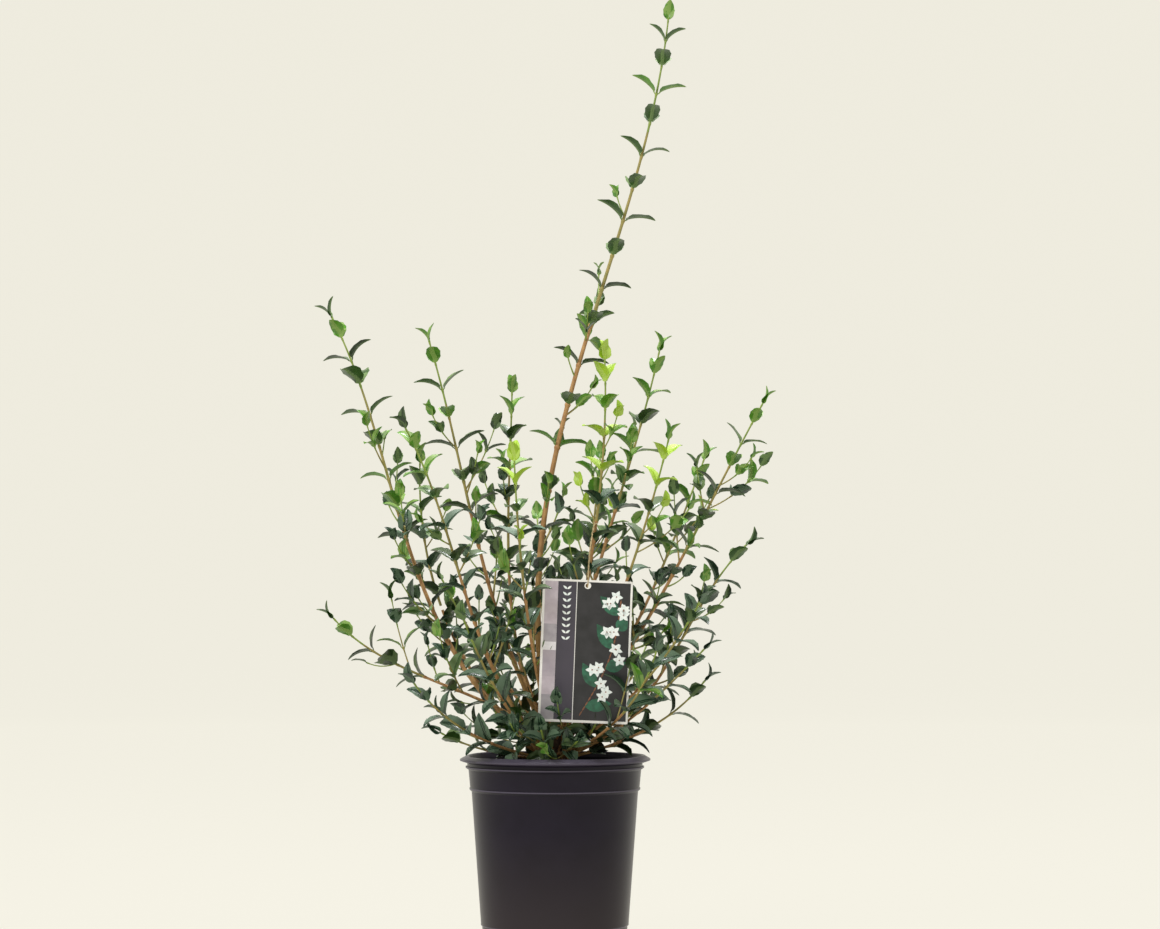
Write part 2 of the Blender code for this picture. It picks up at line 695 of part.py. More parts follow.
def make_foliage(crown, stems):
    """One mass of foliage for each shoot: first all the leaves on the main stems, then the side twigs."""
    grown = {shoot.name: [] for shoot in SHOOTS}
    for shoot in SHOOTS:
        line, start, _ = stems[shoot.name]
        draw = random.Random(shoot.name)
        first = start + FIRST_PAIR if shoot.bare else TRUNK_RADIUS + FIRST_PAIR
        grown[shoot.name] += crown.pairs_along(shoot.name, line, first, FULL_INTERNODE, shoot.phase, draw)
    for shoot in SHOOTS:
        line, start, _ = stems[shoot.name]
        draw = random.Random(shoot.name + " twigs")
        first = start if shoot.bare else TRUNK_RADIUS + FIRST_PAIR
        grown[shoot.name] += crown.side_twigs(shoot, line, first, draw)
    for shoot in SHOOTS:
        mass = fuse("foliage_" + shoot.name, stems[shoot.name][2], grown[shoot.name])
        colour = blended(linear_colour(OLD_LEAF_COLOUR), linear_colour(LIME_LEAF_COLOUR), shoot.lime)
        dress(mass, colour, LEAF_ROUGHNESS)


def label_place():
    """The place and turn of the label, whose hole is at its own origin."""
    turn = Matrix.Rotation(LABEL_TURN, 4, "Y") @ Matrix.Rotation(LABEL_TILT, 4, "X")
    return Matrix.Translation(LABEL_HOLE_AT) @ turn


def make_label(crown):
    """The label: a thin card with a hole near the middle of its upper edge."""
    work = bmesh.new()
    middle = Matrix.Translation((0, 0, LABEL_HOLE_DROP - LABEL_HEIGHT / 2))
    size = Matrix.Diagonal((LABEL_WIDTH, LABEL_THICKNESS, LABEL_HEIGHT, 1))
    bmesh.ops.create_cube(work, size=1, matrix=middle @ size)
    corners = [edge for edge in work.edges if abs((edge.verts[0].co - edge.verts[1].co).y) > LABEL_THICKNESS / 2]
    bmesh.ops.bevel(work, geom=corners, offset=LABEL_CORNER, segments=3, affect="EDGES", profile=0.5)
    mesh = bpy.data.meshes.new("label_card")
    work.to_mesh(mesh)
    work.free()
    label = bpy.data.objects.new("label_card", mesh)
    bpy.context.scene.collection.objects.link(label)
    cut_round_hole(label, Matrix.Rotation(math.pi / 2, 4, "X"), LABEL_HOLE_RADIUS, 6 * LABEL_THICKNESS)
    mesh = label.data
    mesh.transform(label_place())
    mesh.update()
    crown.add_limb("label", [vert.co.copy() for vert in mesh.vertices], [tuple(f.vertices) for f in mesh.polygons])
    return dress(label, linear_colour(LABEL_COLOUR), LABEL_ROUGHNESS)


def tie_route(line):
    """Points of the tie: through the label's hole, up both sides of the card's edge and round the stem."""
    distance = next(step * Line.STEP for step, point in enumerate(line.points) if point.z > TIE_HEIGHT)
    stem, direction = line.at(distance)
    shoot = next(shoot for shoot in SHOOTS if shoot.name == TIE_SHOOT)
    stem_radius = radius_along(shoot, distance / line.length)
    place = label_place()
    back_way = stem - place.translation
    back_way.z = 0
    back_way = (back_way - direction * back_way.dot(direction)).normalized()
    side_way = direction.cross(back_way).normalized()
    round_stem = stem_radius + SEAT_GAP + TIE_RADIUS
    points = []
    for angle in TIE_RING_ANGLES:
        way = math.radians(angle)
        forward = 1 - math.cos(way)
        points.append(
            stem + side_way * round_stem * math.sin(way) + back_way * round_stem * math.cos(way)
            - direction * TIE_RING_DROP * forward
        )
    hole_top = LABEL_HOLE_RADIUS - TIE_RADIUS - SEAT_GAP
    card_side = LABEL_THICKNESS / 2 + SEAT_GAP + TIE_RADIUS + TIE_CARD_MARGIN
    card = [
        Vector((0, card_side, LABEL_HOLE_DROP + TIE_CARD_RISE)),
        Vector((0, card_side, hole_top)),
        Vector((0, card_side * TIE_TURN_SHARE, hole_top - TIE_TURN_DROP)),
        Vector((0, -card_side * TIE_TURN_SHARE, hole_top - TIE_TURN_DROP)),
        Vector((0, -card_side, hole_top)),
        Vector((0, -card_side, LABEL_HOLE_DROP + TIE_CARD_RISE)),
    ]
    card = [place @ point for point in card]
    gather = card[0].lerp(card[-1], 0.5).lerp(stem - back_way * round_stem * 2, TIE_GATHER_SHARE)
    half = side_way * TIE_STRAND_GAP / 2
    return points + [gather + half, *card, gather - half]


def make_tie(crown, line):
    """The tie: a closed loop of thin tube."""
    curve = bpy.data.curves.new("label_tie", "CURVE")
    curve.dimensions = "3D"
    curve.bevel_depth = TIE_RADIUS
    curve.bevel_resolution = 1
    spline = curve.splines.new("POLY")
    route = tie_route(line)
    spline.points.add(len(route) - 1)
    for point, place in zip(spline.points, route):
        point.co = (*place, 1)
    spline.use_cyclic_u = True
    tie = bpy.data.objects.new("label_tie", curve)
    bpy.context.scene.collection.objects.link(tie)
    graph = bpy.context.evaluated_depsgraph_get()
    mesh = bpy.data.meshes.new_from_object(tie.evaluated_get(graph))
    crown.add_limb("tie", [vert.co.copy() for vert in mesh.vertices], [tuple(f.vertices) for f in mesh.polygons])
    bpy.data.meshes.remove(mesh)
    return dress(tie, linear_colour(TIE_COLOUR), TIE_ROUGHNESS)


def main():
    """Clears the scene and builds the plant from the pot upwards."""
    for obj in list(bpy.data.objects):
        bpy.data.objects.remove(obj)
    crown = Crown()
    for solid in (make_pot(), make_soil()):
        points = [vert.co.copy() for vert in solid.data.vertices]
        crown.add_limb(solid.name, points, [tuple(face.vertices) for face in solid.data.polygons])
    trunk = add_object("trunk", *trunk_shape())
    dress(trunk, linear_colour(WOOD_COLOUR), WOOD_ROUGHNESS)
    crown.add_limb("trunk", *trunk_shape())
    trunk_room = add_object("trunk_room", *trunk_shape(SEAT_GAP))
    stems = make_limbs(crown, trunk_room)
    remove_object(trunk_room)
    make_label(crown)
    make_tie(crown, stems[TIE_SHOOT][0])
    make_foliage(crown, stems)


if __name__ == "__main__":
    main()
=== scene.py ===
"""Looks of a potted burkwood osmanthus: a young evergreen shrub in a black nursery pot, with a picture label.

Lengths are in metres unless a name ends in _mm. A shoot's own sizes are in millimetres and degrees. The axes
are the frame's: +Z is up, the photographed side faces -Y and +X is to its right. The origin is the centre of
the pot's underside. Where a pair of numbers is a spread, it holds the least and the greatest value.
"""

import logging
from dataclasses import dataclass, replace
from enum import Enum
from math import atan2, cos, degrees, exp, hypot, pi, radians, sin, sqrt, tan, tau
from random import Random
from typing import Any, Sequence

import bpy
import numpy as np
from bpy.types import ID, Material, Node, NodeSocket, NodeTree, Object
from mathutils import Matrix, Vector, noise
from mathutils.bvhtree import BVHTree


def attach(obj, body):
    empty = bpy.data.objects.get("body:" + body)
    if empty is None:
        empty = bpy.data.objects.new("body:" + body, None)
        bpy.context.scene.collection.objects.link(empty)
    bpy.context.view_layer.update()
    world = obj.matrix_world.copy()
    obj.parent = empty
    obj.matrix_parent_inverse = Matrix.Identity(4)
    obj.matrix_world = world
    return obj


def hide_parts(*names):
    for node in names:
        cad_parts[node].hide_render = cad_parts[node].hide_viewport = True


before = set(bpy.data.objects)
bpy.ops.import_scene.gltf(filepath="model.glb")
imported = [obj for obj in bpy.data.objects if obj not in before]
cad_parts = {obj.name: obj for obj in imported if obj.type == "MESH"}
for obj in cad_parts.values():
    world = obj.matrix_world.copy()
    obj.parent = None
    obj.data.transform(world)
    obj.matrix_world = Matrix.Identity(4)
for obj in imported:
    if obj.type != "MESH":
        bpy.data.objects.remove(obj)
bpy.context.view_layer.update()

MM = 0.001
UP = Vector((0.0, 0.0, 1.0))
ROOT_BODY = "root"
SOIL_TOP = 176 * MM
SEAT_GAP = 0.3 * MM
MERGE_DISTANCE = 0.01 * MM
STEM_TIP_RADIUS = 0.75 * MM
GOLDEN_ANGLE = 137.5

Spread = tuple[float, float]
Triple = tuple[float, float, float]
Outline = Sequence[tuple[float, float]]
Face = tuple[int, ...]
Shape = tuple[np.ndarray, list[Face]]

log = logging.getLogger("osmanthus")


def linear(hex_value: str) -> tuple[float, float, float, float]:
    """Turns an sRGB colour into a linear one.

    Args:
        hex_value: Six hexadecimal digits.

    Returns:
        Red, green, blue and full alpha.
    """
    channels = [int(hex_value[place:place + 2], 16) / 255 for place in (0, 2, 4)]
    red, green, blue = (
        ((level + 0.055) / 1.055) ** 2.4 if level > 0.04045 else level / 12.92 for level in channels
    )
    return red, green, blue, 1.0


def add_node(tree: NodeTree, kind: str, inputs: dict[Any, Any] | None = None, **settings: Any) -> Node:
    """Adds a shader node with its settings and links.

    Args:
        tree: The material's node tree.
        kind: The node's type name.
        inputs: Values or feeding sockets, by input name or number.
        settings: The node's own settings.

    Returns:
        The new node.
    """
    node = tree.nodes.new(kind)
    for name, value in settings.items():
        setattr(node, name, value)
    for name, value in (inputs or {}).items():
        if isinstance(value, NodeSocket):
            tree.links.new(value, node.inputs[name])
        else:
            node.inputs[name].default_value = value
    return node


def start_material(name: str, values: dict[str, Any]) -> tuple[Material, Node]:
    """Starts a material and sets values on its Principled shader's own sockets.

    Args:
        name: The material's name.
        values: Values by socket name.

    Returns:
        The material and its shader.
    """
    material = bpy.data.materials.new(name)
    material.use_nodes = True
    shader = material.node_tree.nodes["Principled BSDF"]
    for socket, value in values.items():
        shader.inputs[socket].default_value = value
    return material, shader


@dataclass(frozen=True)
class Finish:
    """A surface with two close colours in soft patches and a fine relief, sized in millimetres."""

    name: str
    colour: str
    second_colour: str
    roughness: float
    patch_mm: float = 12.0
    grain_mm: float = 1.5
    relief_mm: float = 0.1
    ior: float = 1.5
    specular: float = 0.5
    coat: float = 0.0
    coat_roughness: float = 0.25
    patch_limits: Spread = (0.35, 0.65)
    stretch: Triple = (1.0, 1.0, 1.0)

    def material(self) -> Material:
        """Makes the finish's material.

        Returns:
            A material with a Principled shader.
        """
        material, shader = start_material(self.name, {
            "Roughness": self.roughness, "IOR": self.ior, "Specular IOR Level": self.specular,
            "Coat Weight": self.coat, "Coat Roughness": self.coat_roughness,
        })
        tree = material.node_tree
        place = add_node(tree, "ShaderNodeTexCoord").outputs["Object"]
        place = add_node(tree, "ShaderNodeMapping", {"Vector": place, "Scale": self.stretch}).outputs[0]
        tree.links.new(self.colour_socket(tree, place), shader.inputs["Base Color"])
        pattern = {"Vector": place, "Scale": 1 / (self.grain_mm * MM), "Detail": 2.0}
        grain = add_node(tree, "ShaderNodeTexNoise", pattern).outputs[0]
        relief = {"Height": grain, "Distance": self.relief_mm * MM, "Strength": 1.0}
        bump = add_node(tree, "ShaderNodeBump", relief)
        tree.links.new(bump.outputs[0], shader.inputs["Normal"])
        return material

    def colour_socket(self, tree: NodeTree, place: NodeSocket) -> NodeSocket:
        """Mixes the two colours in soft patches.

        Args:
            tree: The material's node tree.
            place: The socket of the surface's own coordinates.

        Returns:
            The socket of the mixed colour.
        """
        pattern = {"Vector": place, "Scale": 1 / (self.patch_mm * MM), "Detail": 3.0}
        spots = add_node(tree, "ShaderNodeTexNoise", pattern).outputs[0]
        limits = {"Value": spots, "From Min": self.patch_limits[0], "From Max": self.patch_limits[1]}
        share = add_node(tree, "ShaderNodeMapRange", limits).outputs[0]
        parts = {0: share, 6: linear(self.colour), 7: linear(self.second_colour)}
        return add_node(tree, "ShaderNodeMix", parts, data_type="RGBA").outputs[2]


@dataclass(frozen=True)
class PaintedLightFinish(Finish):
    """A finish with painted light: a warm painted floor bounce towards its foot, and painted highlights along
    its rim and its ledges.
    """

    # Painted floor bounce: a warm grey for light thrown up from the floor, growing from this height down to
    # the underside
    painted_bounce_colour: str = "322C2E"
    painted_bounce_height: float = 120 * MM
    # Painted highlight: a paler colour on the lip, fading in between these heights; the ledge lines use it
    # too
    painted_highlight_colour: str = "4A4552"
    painted_highlight_heights: Spread = (184.0 * MM, 185.5 * MM)
    # Painted highlights: thin paler lines along the ledges at these heights, within this half width
    painted_highlight_lines: tuple[float, ...] = (179.2 * MM, 157.8 * MM, 23.0 * MM)
    painted_highlight_line_width: float = 0.7 * MM

    def colour_socket(self, tree: NodeTree, place: NodeSocket) -> NodeSocket:
        """Mixes the patched colour with the painted floor bounce towards the foot and the painted highlights
        on the rim and the ledges, by height.

        Args:
            tree: The material's node tree.
            place: The socket of the surface's own coordinates.

        Returns:
            The socket of the mixed colour.
        """
        upper = super().colour_socket(tree, place)
        height = add_node(tree, "ShaderNodeSeparateXYZ", {"Vector": place}).outputs["Z"]
        # Painted floor bounce: its share grows towards the foot
        fade = {"Value": height, "From Min": self.painted_bounce_height, "From Max": 0.0}
        share = add_node(tree, "ShaderNodeMapRange", fade).outputs[0]
        parts = {0: share, 6: upper, 7: linear(self.painted_bounce_colour)}
        body = add_node(tree, "ShaderNodeMix", parts, data_type="RGBA").outputs[2]
        # Painted highlights: on the lip, then along each ledge line
        rise = {"Value": height, "From Min": self.painted_highlight_heights[0], "From Max": self.painted_highlight_heights[1]}
        share = add_node(tree, "ShaderNodeMapRange", rise).outputs[0]
        # Painted highlight lines along the ledges
        for edge in self.painted_highlight_lines:
            near = {0: height, 1: edge, 2: self.painted_highlight_line_width}
            line = add_node(tree, "ShaderNodeMath", near, operation="COMPARE").outputs[0]
            share = add_node(tree, "ShaderNodeMath", {0: share, 1: line}, operation="MAXIMUM").outputs[0]
        parts = {0: share, 6: body, 7: linear(self.painted_highlight_colour)}
        return add_node(tree, "ShaderNodeMix", parts, data_type="RGBA").outputs[2]


@dataclass(frozen=True)
class PrintingInk(Finish):
    """A thin film of ink on coated card: nearly smooth, with a satin shine and a barely uneven colour."""

    roughness: float = 0.33
    relief_mm: float = 0.01


@dataclass(frozen=True)
class PaintedBoard:
    """Matt painted board that glows a little: an even pale backdrop with soft shadows and no shine."""

    name: str = "painted_board"
    paint: str = "2A2927"
    pale: str = "F0EDE0"
    glow: float = 0.965
    roughness: float = 0.9
    specular: float = 0.1

    def material(self) -> Material:
        """Makes the board's material.

        Returns:
            A material with a Principled shader.
        """
        return start_material(self.name, {
            "Base Color": linear(self.paint), "Emission Color": linear(self.pale),
            "Emission Strength": self.glow, "Roughness": self.roughness, "Specular IOR Level": self.specular,
        })[0]


# Moulded polypropylene: a black satin skin that shows soft broad reflections and a faint grain, with painted
# floor bounce at its foot and painted highlights on its rim and ledges
MOULDED_POLYPROPYLENE = PaintedLightFinish(
    "moulded_polypropylene", "16111D", "1A1522", 0.32, patch_mm=30.0, grain_mm=0.8, relief_mm=0.02,
    specular=0.18,
)
# Peat and bark compost: nearly black, rough and crumbly
PEAT_COMPOST = Finish("peat_compost", "120D0A", "241A13", 0.95, patch_mm=4.0, grain_mm=1.2, relief_mm=0.6)
# Bark chips: torn fibres, a little paler than the compost round them
BARK_CHIP = Finish("bark_chip", "2A1C12", "3B2A1C", 0.9, patch_mm=2.0, grain_mm=0.8, relief_mm=0.3)
# Expanded perlite: chalky white grains
PERLITE = Finish("perlite", "D8D4CB", "BDB7AC", 0.85, patch_mm=1.0, grain_mm=0.5, relief_mm=0.1)
# Old bark: grey-brown, cracked and matt, as at the foot of a shrub
OLD_BARK = Finish("old_bark", "4E3A29", "36281C", 0.9, patch_mm=3.0, grain_mm=0.9, relief_mm=0.3)
# Bark of thin stems: matt, with streaks drawn out along the stem
ALONG_STEM = (1.0, 1.0, 0.35)
# Year-old bark: thin, tan and dry
TAN_BARK = Finish(
    "tan_bark", "C0975F", "A17A4C", 0.75, patch_mm=3.0, grain_mm=0.9, relief_mm=0.18, stretch=ALONG_STEM
)
# First-year bark: redder brown and smoother
BROWN_BARK = Finish(
    "brown_bark", "B08754", "956B40", 0.68, patch_mm=3.0, grain_mm=0.9, relief_mm=0.1, stretch=ALONG_STEM
)
# Half-ripe shoot: green skin that is turning brown
OLIVE_SHOOT = Finish("olive_shoot", "9C8A4C", "858043", 0.6, patch_mm=6.0, grain_mm=1.0, relief_mm=0.05)
# Soft shoot: this season's growth, yellow-green and faintly shiny
GREEN_SHOOT = Finish("green_shoot", "86963F", "748A38", 0.5, patch_mm=6.0, grain_mm=1.0, relief_mm=0.05)
# Coated card: a thin white plastic sheet with a slightly glossy face
WHITE_CARD = Finish("coated_card", "EDEBE8", "E6E3DF", 0.35, patch_mm=40.0, relief_mm=0.01)
# Solid dark inks: the plain band, and the picture's ground with broad soft clouds
CHARCOAL_INK = PrintingInk("charcoal_ink", "3B3742", "423D49", patch_mm=40.0)
NIGHT_INK = PrintingInk("night_ink", "1D1D1F", "2B2A2D", patch_mm=14.0)
# Picture inks: each shades between two close colours, which gives the flat forms some body
LEAF_INK = PrintingInk("leaf_ink", "1C4A36", "2C6B50", patch_mm=6.0)
STALK_INK = PrintingInk("stalk_ink", "8A5638", "6E4630", patch_mm=4.0)
PETAL_INK = PrintingInk("petal_ink", "F2F4F2", "DCE6E4", patch_mm=2.5)
# Strip inks: quiet warm greys with a faint mottle
GREY_INKS = tuple(
    PrintingInk(f"grey_ink_{number}", colour, second, patch_mm=9.0)
    for number, (colour, second) in enumerate(
        (("C2B7BF", "B2A6AF"), ("A096A0", "ACA1AA"), ("E8E5E8", "DCD8DD"), ("958F97", "A8A2A8"))
    )
)
# Paper-covered wire: a pale twisted tie with a soft matt face
PAPER_TIE = Finish("paper_tie", "D6C49C", "C2AC80", 0.8, patch_mm=2.0, grain_mm=0.4, relief_mm=0.05)


class Tone(Enum):
    """The age of a leaf and its height, which paints light and shade on it, give its colours."""

    DEEP = "deep"
    DARK = "dark"
    BLUISH = "bluish"
    FRESH = "fresh"
    LIME = "lime"


@dataclass(frozen=True)
class LeafColours:
    """The colours of one tone of leaf: two for its upper side, its underside and its rib with its stalk."""

    upper: str
    upper_second: str
    under: str
    rib: str
    roughness: float

    def finishes(self, tone: Tone) -> tuple[Finish, Finish, Finish]:
        """Makes the finishes of a leaf's two sides and its rib.

        Args:
            tone: The tone that the colours belong to.

        Returns:
            The upper, under and rib finishes.
        """
        # Waxy cuticle: leathery, with a clear skin that gives small sharp glints over a softer shine
        waxy = Finish(
            f"waxy_leaf_{tone.value}", self.upper, self.upper_second, self.roughness,
            patch_mm=14.0, grain_mm=2.2, relief_mm=0.12, ior=1.45, coat=0.12,
        )
        # Underside: paler and matt, because it has no thick wax
        matt = Finish(
            f"leaf_underside_{tone.value}", self.under, self.under, 0.6, grain_mm=1.2, relief_mm=0.06
        )
        # Midrib and stalk: smooth, pale and a little shiny
        rib = Finish(f"leaf_rib_{tone.value}", self.rib, self.rib, 0.5, grain_mm=1.2, relief_mm=0.04)
        return waxy, matt, rib


# Leaf colours by tone; the fresh and lime tones, dealt to high leaves, also stand for painted light shining
# through them, and the bluish and deep tones, dealt low, for painted shade
LEAF_COLOURS = {
    Tone.DEEP: LeafColours("1C2F12", "253D1A", "4E6339", "587040", 0.30),
    Tone.DARK: LeafColours("2A4619", "355622", "5E7743", "6F8A48", 0.32),
    Tone.BLUISH: LeafColours("1B2F20", "263F2C", "50674F", "587255", 0.26),
    Tone.FRESH: LeafColours("3E7018", "538820", "769646", "93AC52", 0.34),
    Tone.LIME: LeafColours("87A91C", "9DBE28", "A2BD4E", "B5CA68", 0.40),
}


def deselect_all() -> None:
    """Deselects every object."""
    bpy.ops.object.select_all(action="DESELECT")


def add_object(name: str, data: ID) -> Object:
    """Puts a new mesh, curve, light or camera in the scene.

    Args:
        name: Its name.
        data: The mesh, curve, light or camera.

    Returns:
        The new object.
    """
    obj = bpy.data.objects.new(name, data)
    bpy.context.scene.collection.objects.link(obj)
    return obj


def make_active(obj: Object) -> None:
    """Selects the object alone and makes it the active one.

    Args:
        obj: The object to work on next.
    """
    deselect_all()
    obj.select_set(True)
    bpy.context.view_layer.objects.active = obj


def edit_all(obj: Object, select_mode: str = "VERT") -> None:
    """Opens edit mode on the object, with all of it selected.

    Args:
        obj: The object.
        select_mode: Whether points, edges or faces are selected from here on.
    """
    make_active(obj)
    bpy.ops.object.mode_set(mode="EDIT")
    bpy.ops.mesh.select_mode(type=select_mode)
    bpy.ops.mesh.select_all(action="SELECT")


def leave_edit(merge: bool = False, inside: bool = False) -> None:
    """Turns all faces one way and leaves edit mode.

    Args:
        merge: Whether points that fall together are merged first.
        inside: Whether the faces look inwards.
    """
    bpy.ops.mesh.select_all(action="SELECT")
    if merge:
        bpy.ops.mesh.remove_doubles(threshold=MERGE_DISTANCE)
    bpy.ops.mesh.normals_make_consistent(inside=inside)
    bpy.ops.object.mode_set(mode="OBJECT")


def dress(
    piece: Object, name: str, finishes: Sequence[Finish], nodes: Sequence[str] = (),
    smooth_deg: float = 60.0,
) -> None:
    """Names a finished piece, gives it materials and smooth shading, hangs it on the root body and hides the
    parts that it replaces.

    Args:
        piece: The piece.
        name: Its name.
        finishes: The finishes of its material slots.
        nodes: The nodes that it replaces.
        smooth_deg: Edges sharper than this angle stay sharp.
    """
    piece.name = name
    piece.data.name = name
    for finish in finishes:
        piece.data.materials.append(bpy.data.materials.get(finish.name) or finish.material())
    make_active(piece)
    bpy.ops.object.shade_smooth_by_angle(angle=radians(smooth_deg))
    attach(piece, ROOT_BODY)
    if nodes:
        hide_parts(*nodes)
    log.info("%s: %d faces", name, len(piece.data.polygons))


def apply_modifier(obj: Object, kind: str, **settings: Any) -> None:
    """Adds a modifier and applies it.

    Args:
        obj: The object.
        kind: The modifier's type.
        settings: The modifier's settings.
    """
    make_active(obj)
    modifier = obj.modifiers.new(kind.lower(), kind)
    for name, value in settings.items():
        setattr(modifier, name, value)
    bpy.ops.object.modifier_apply(modifier=modifier.name)


def drill(obj: Object, **cylinder: Any) -> None:
    """Cuts a round hole through an object.

    Args:
        obj: The object.
        cylinder: The size and the place of the cylinder that is taken away.
    """
    deselect_all()
    bpy.ops.mesh.primitive_cylinder_add(**cylinder)
    cutter = bpy.context.object
    apply_modifier(obj, "BOOLEAN", operation="DIFFERENCE", solver="EXACT", object=cutter)
    bpy.data.objects.remove(cutter)


def spin_outline(outline: Outline, steps: int) -> Object:
    """Draws an outline point by point in edit mode and spins it round the Z axis.

    Args:
        outline: Points of radius and height that start and end on the axis.
        steps: The number of sides of the round.

    Returns:
        The closed turned object.
    """
    deselect_all()
    bpy.ops.mesh.primitive_plane_add(size=MM)
    obj = bpy.context.object
    edit_all(obj)
    bpy.ops.mesh.merge(type="CENTER")
    bpy.ops.transform.translate(value=(outline[0][0], 0.0, outline[0][1]))
    for (radius, height), (next_radius, next_height) in zip(outline, outline[1:]):
        step = (next_radius - radius, 0.0, next_height - height)
        bpy.ops.mesh.extrude_region_move(TRANSFORM_OT_translate={"value": step})
    bpy.ops.mesh.select_all(action="SELECT")
    bpy.ops.mesh.spin(steps=steps, angle=tau, center=(0.0, 0.0, 0.0), axis=(0.0, 0.0, 1.0))
    leave_edit(merge=True)
    return obj


def raise_rings(outline: Outline, drift: float = 0.0) -> None:
    """Extrudes the selected ring upwards again and again, and widens or narrows it each time.

    Args:
        outline: The radius and the height of the ring before and after each extrusion.
        drift: How far each extrusion moves along X.
    """
    middle = 0.0
    for (radius, height), (next_radius, next_height) in zip(outline, outline[1:]):
        step = (drift, 0.0, next_height - height)
        bpy.ops.mesh.extrude_region_move(TRANSFORM_OT_translate={"value": step})
        middle += drift
        scale = next_radius / radius
        bpy.ops.transform.resize(value=(scale, scale, 1.0), center_override=(middle, 0.0, next_height))


def stack_rings(outline: Outline, sides: int, insets: Outline, drift: float = 0.0) -> Object:
    """Extrudes a disc upwards ring by ring and insets its top.

    Args:
        outline: The radius and the height of the disc and of each ring.
        sides: The number of sides.
        insets: The width and the rise of each inset.
        drift: How far each ring moves along X.

    Returns:
        The closed object.
    """
    deselect_all()
    radius, height = outline[0]
    place = (0.0, 0.0, height)
    bpy.ops.mesh.primitive_circle_add(vertices=sides, radius=radius, fill_type="NGON", location=place)
    obj = bpy.context.object
    bpy.ops.object.transform_apply(location=True, rotation=False, scale=False)
    edit_all(obj)
    raise_rings(outline, drift)
    for width, rise in insets:
        bpy.ops.mesh.inset(thickness=width, depth=rise)
    leave_edit()
    return obj


class JoinedMesh:
    """Many small closed shapes that become one mesh."""

    def __init__(self) -> None:
        """Starts with no shapes."""
        self.points: list[np.ndarray] = []
        self.faces: list[Face] = []
        self.slots: list[int] = []
        self.count = 0

    def add(self, points: np.ndarray, faces: Sequence[Face], slots: Sequence[int] | None = None) -> None:
        """Adds one shape.

        Args:
            points: Its points, one row each.
            faces: Its faces, as row numbers.
            slots: The material slot of each face, or nothing for the first slot.
        """
        self.points.append(points)
        self.faces.extend(tuple(corner + self.count for corner in face) for face in faces)
        self.slots.extend(slots if slots is not None else [0] * len(faces))
        self.count += len(points)

    def build(self, name: str) -> Object:
        """Makes the mesh object.

        Args:
            name: The piece's name.

        Returns:
            The new object.
        """
        mesh = bpy.data.meshes.new(name)
        mesh.from_pydata(np.concatenate(self.points).tolist(), [], self.faces)
        mesh.polygons.foreach_set("material_index", self.slots)
        return add_object(name, mesh)


def tube(centres: Sequence[Vector], radii: Sequence[float], sides: int) -> Shape:
    """Makes a closed round tube through some points.

    Args:
        centres: Points of its middle line.
        radii: Its radius at each.
        sides: The number of sides.

    Returns:
        The points and the faces.
    """
    across = (centres[1] - centres[0]).orthogonal().normalized()
    points = []
    for index, (centre, radius) in enumerate(zip(centres, radii)):
        ahead = centres[min(index + 1, len(centres) - 1)] - centres[max(index - 1, 0)]
        ahead.normalize()
        across = (across - ahead * across.dot(ahead)).normalized()
        other = ahead.cross(across)
        for side in range(sides):
            angle = tau * side / sides
            points.append(centre + (across * cos(angle) + other * sin(angle)) * radius)
    faces: list[Face] = [tuple(range(sides))[::-1]]
    for ring in range(len(centres) - 1):
        for side in range(sides):
            low, low_next = ring * sides + side, ring * sides + (side + 1) % sides
            faces.append((low, low_next, low_next + sides, low + sides))
    faces.append(tuple(range((len(centres) - 1) * sides, len(centres) * sides)))
    return np.array(points), faces


def swelling(place: float, nodes: Sequence[float], length: float) -> float:
    """How much a stem swells at a place, from 0 to about 1 at a node, within a length of it."""
    return sum(exp(-((place - node) / length) ** 2) for node in nodes)


def bark_ridge(point: Vector, across: float, up: float) -> float:
    """The height of long bark ridges at a point, from -1 to 1, with so many in a metre across and up."""
    return noise.noise(Vector((point.x * across, point.y * across, point.z * up)))


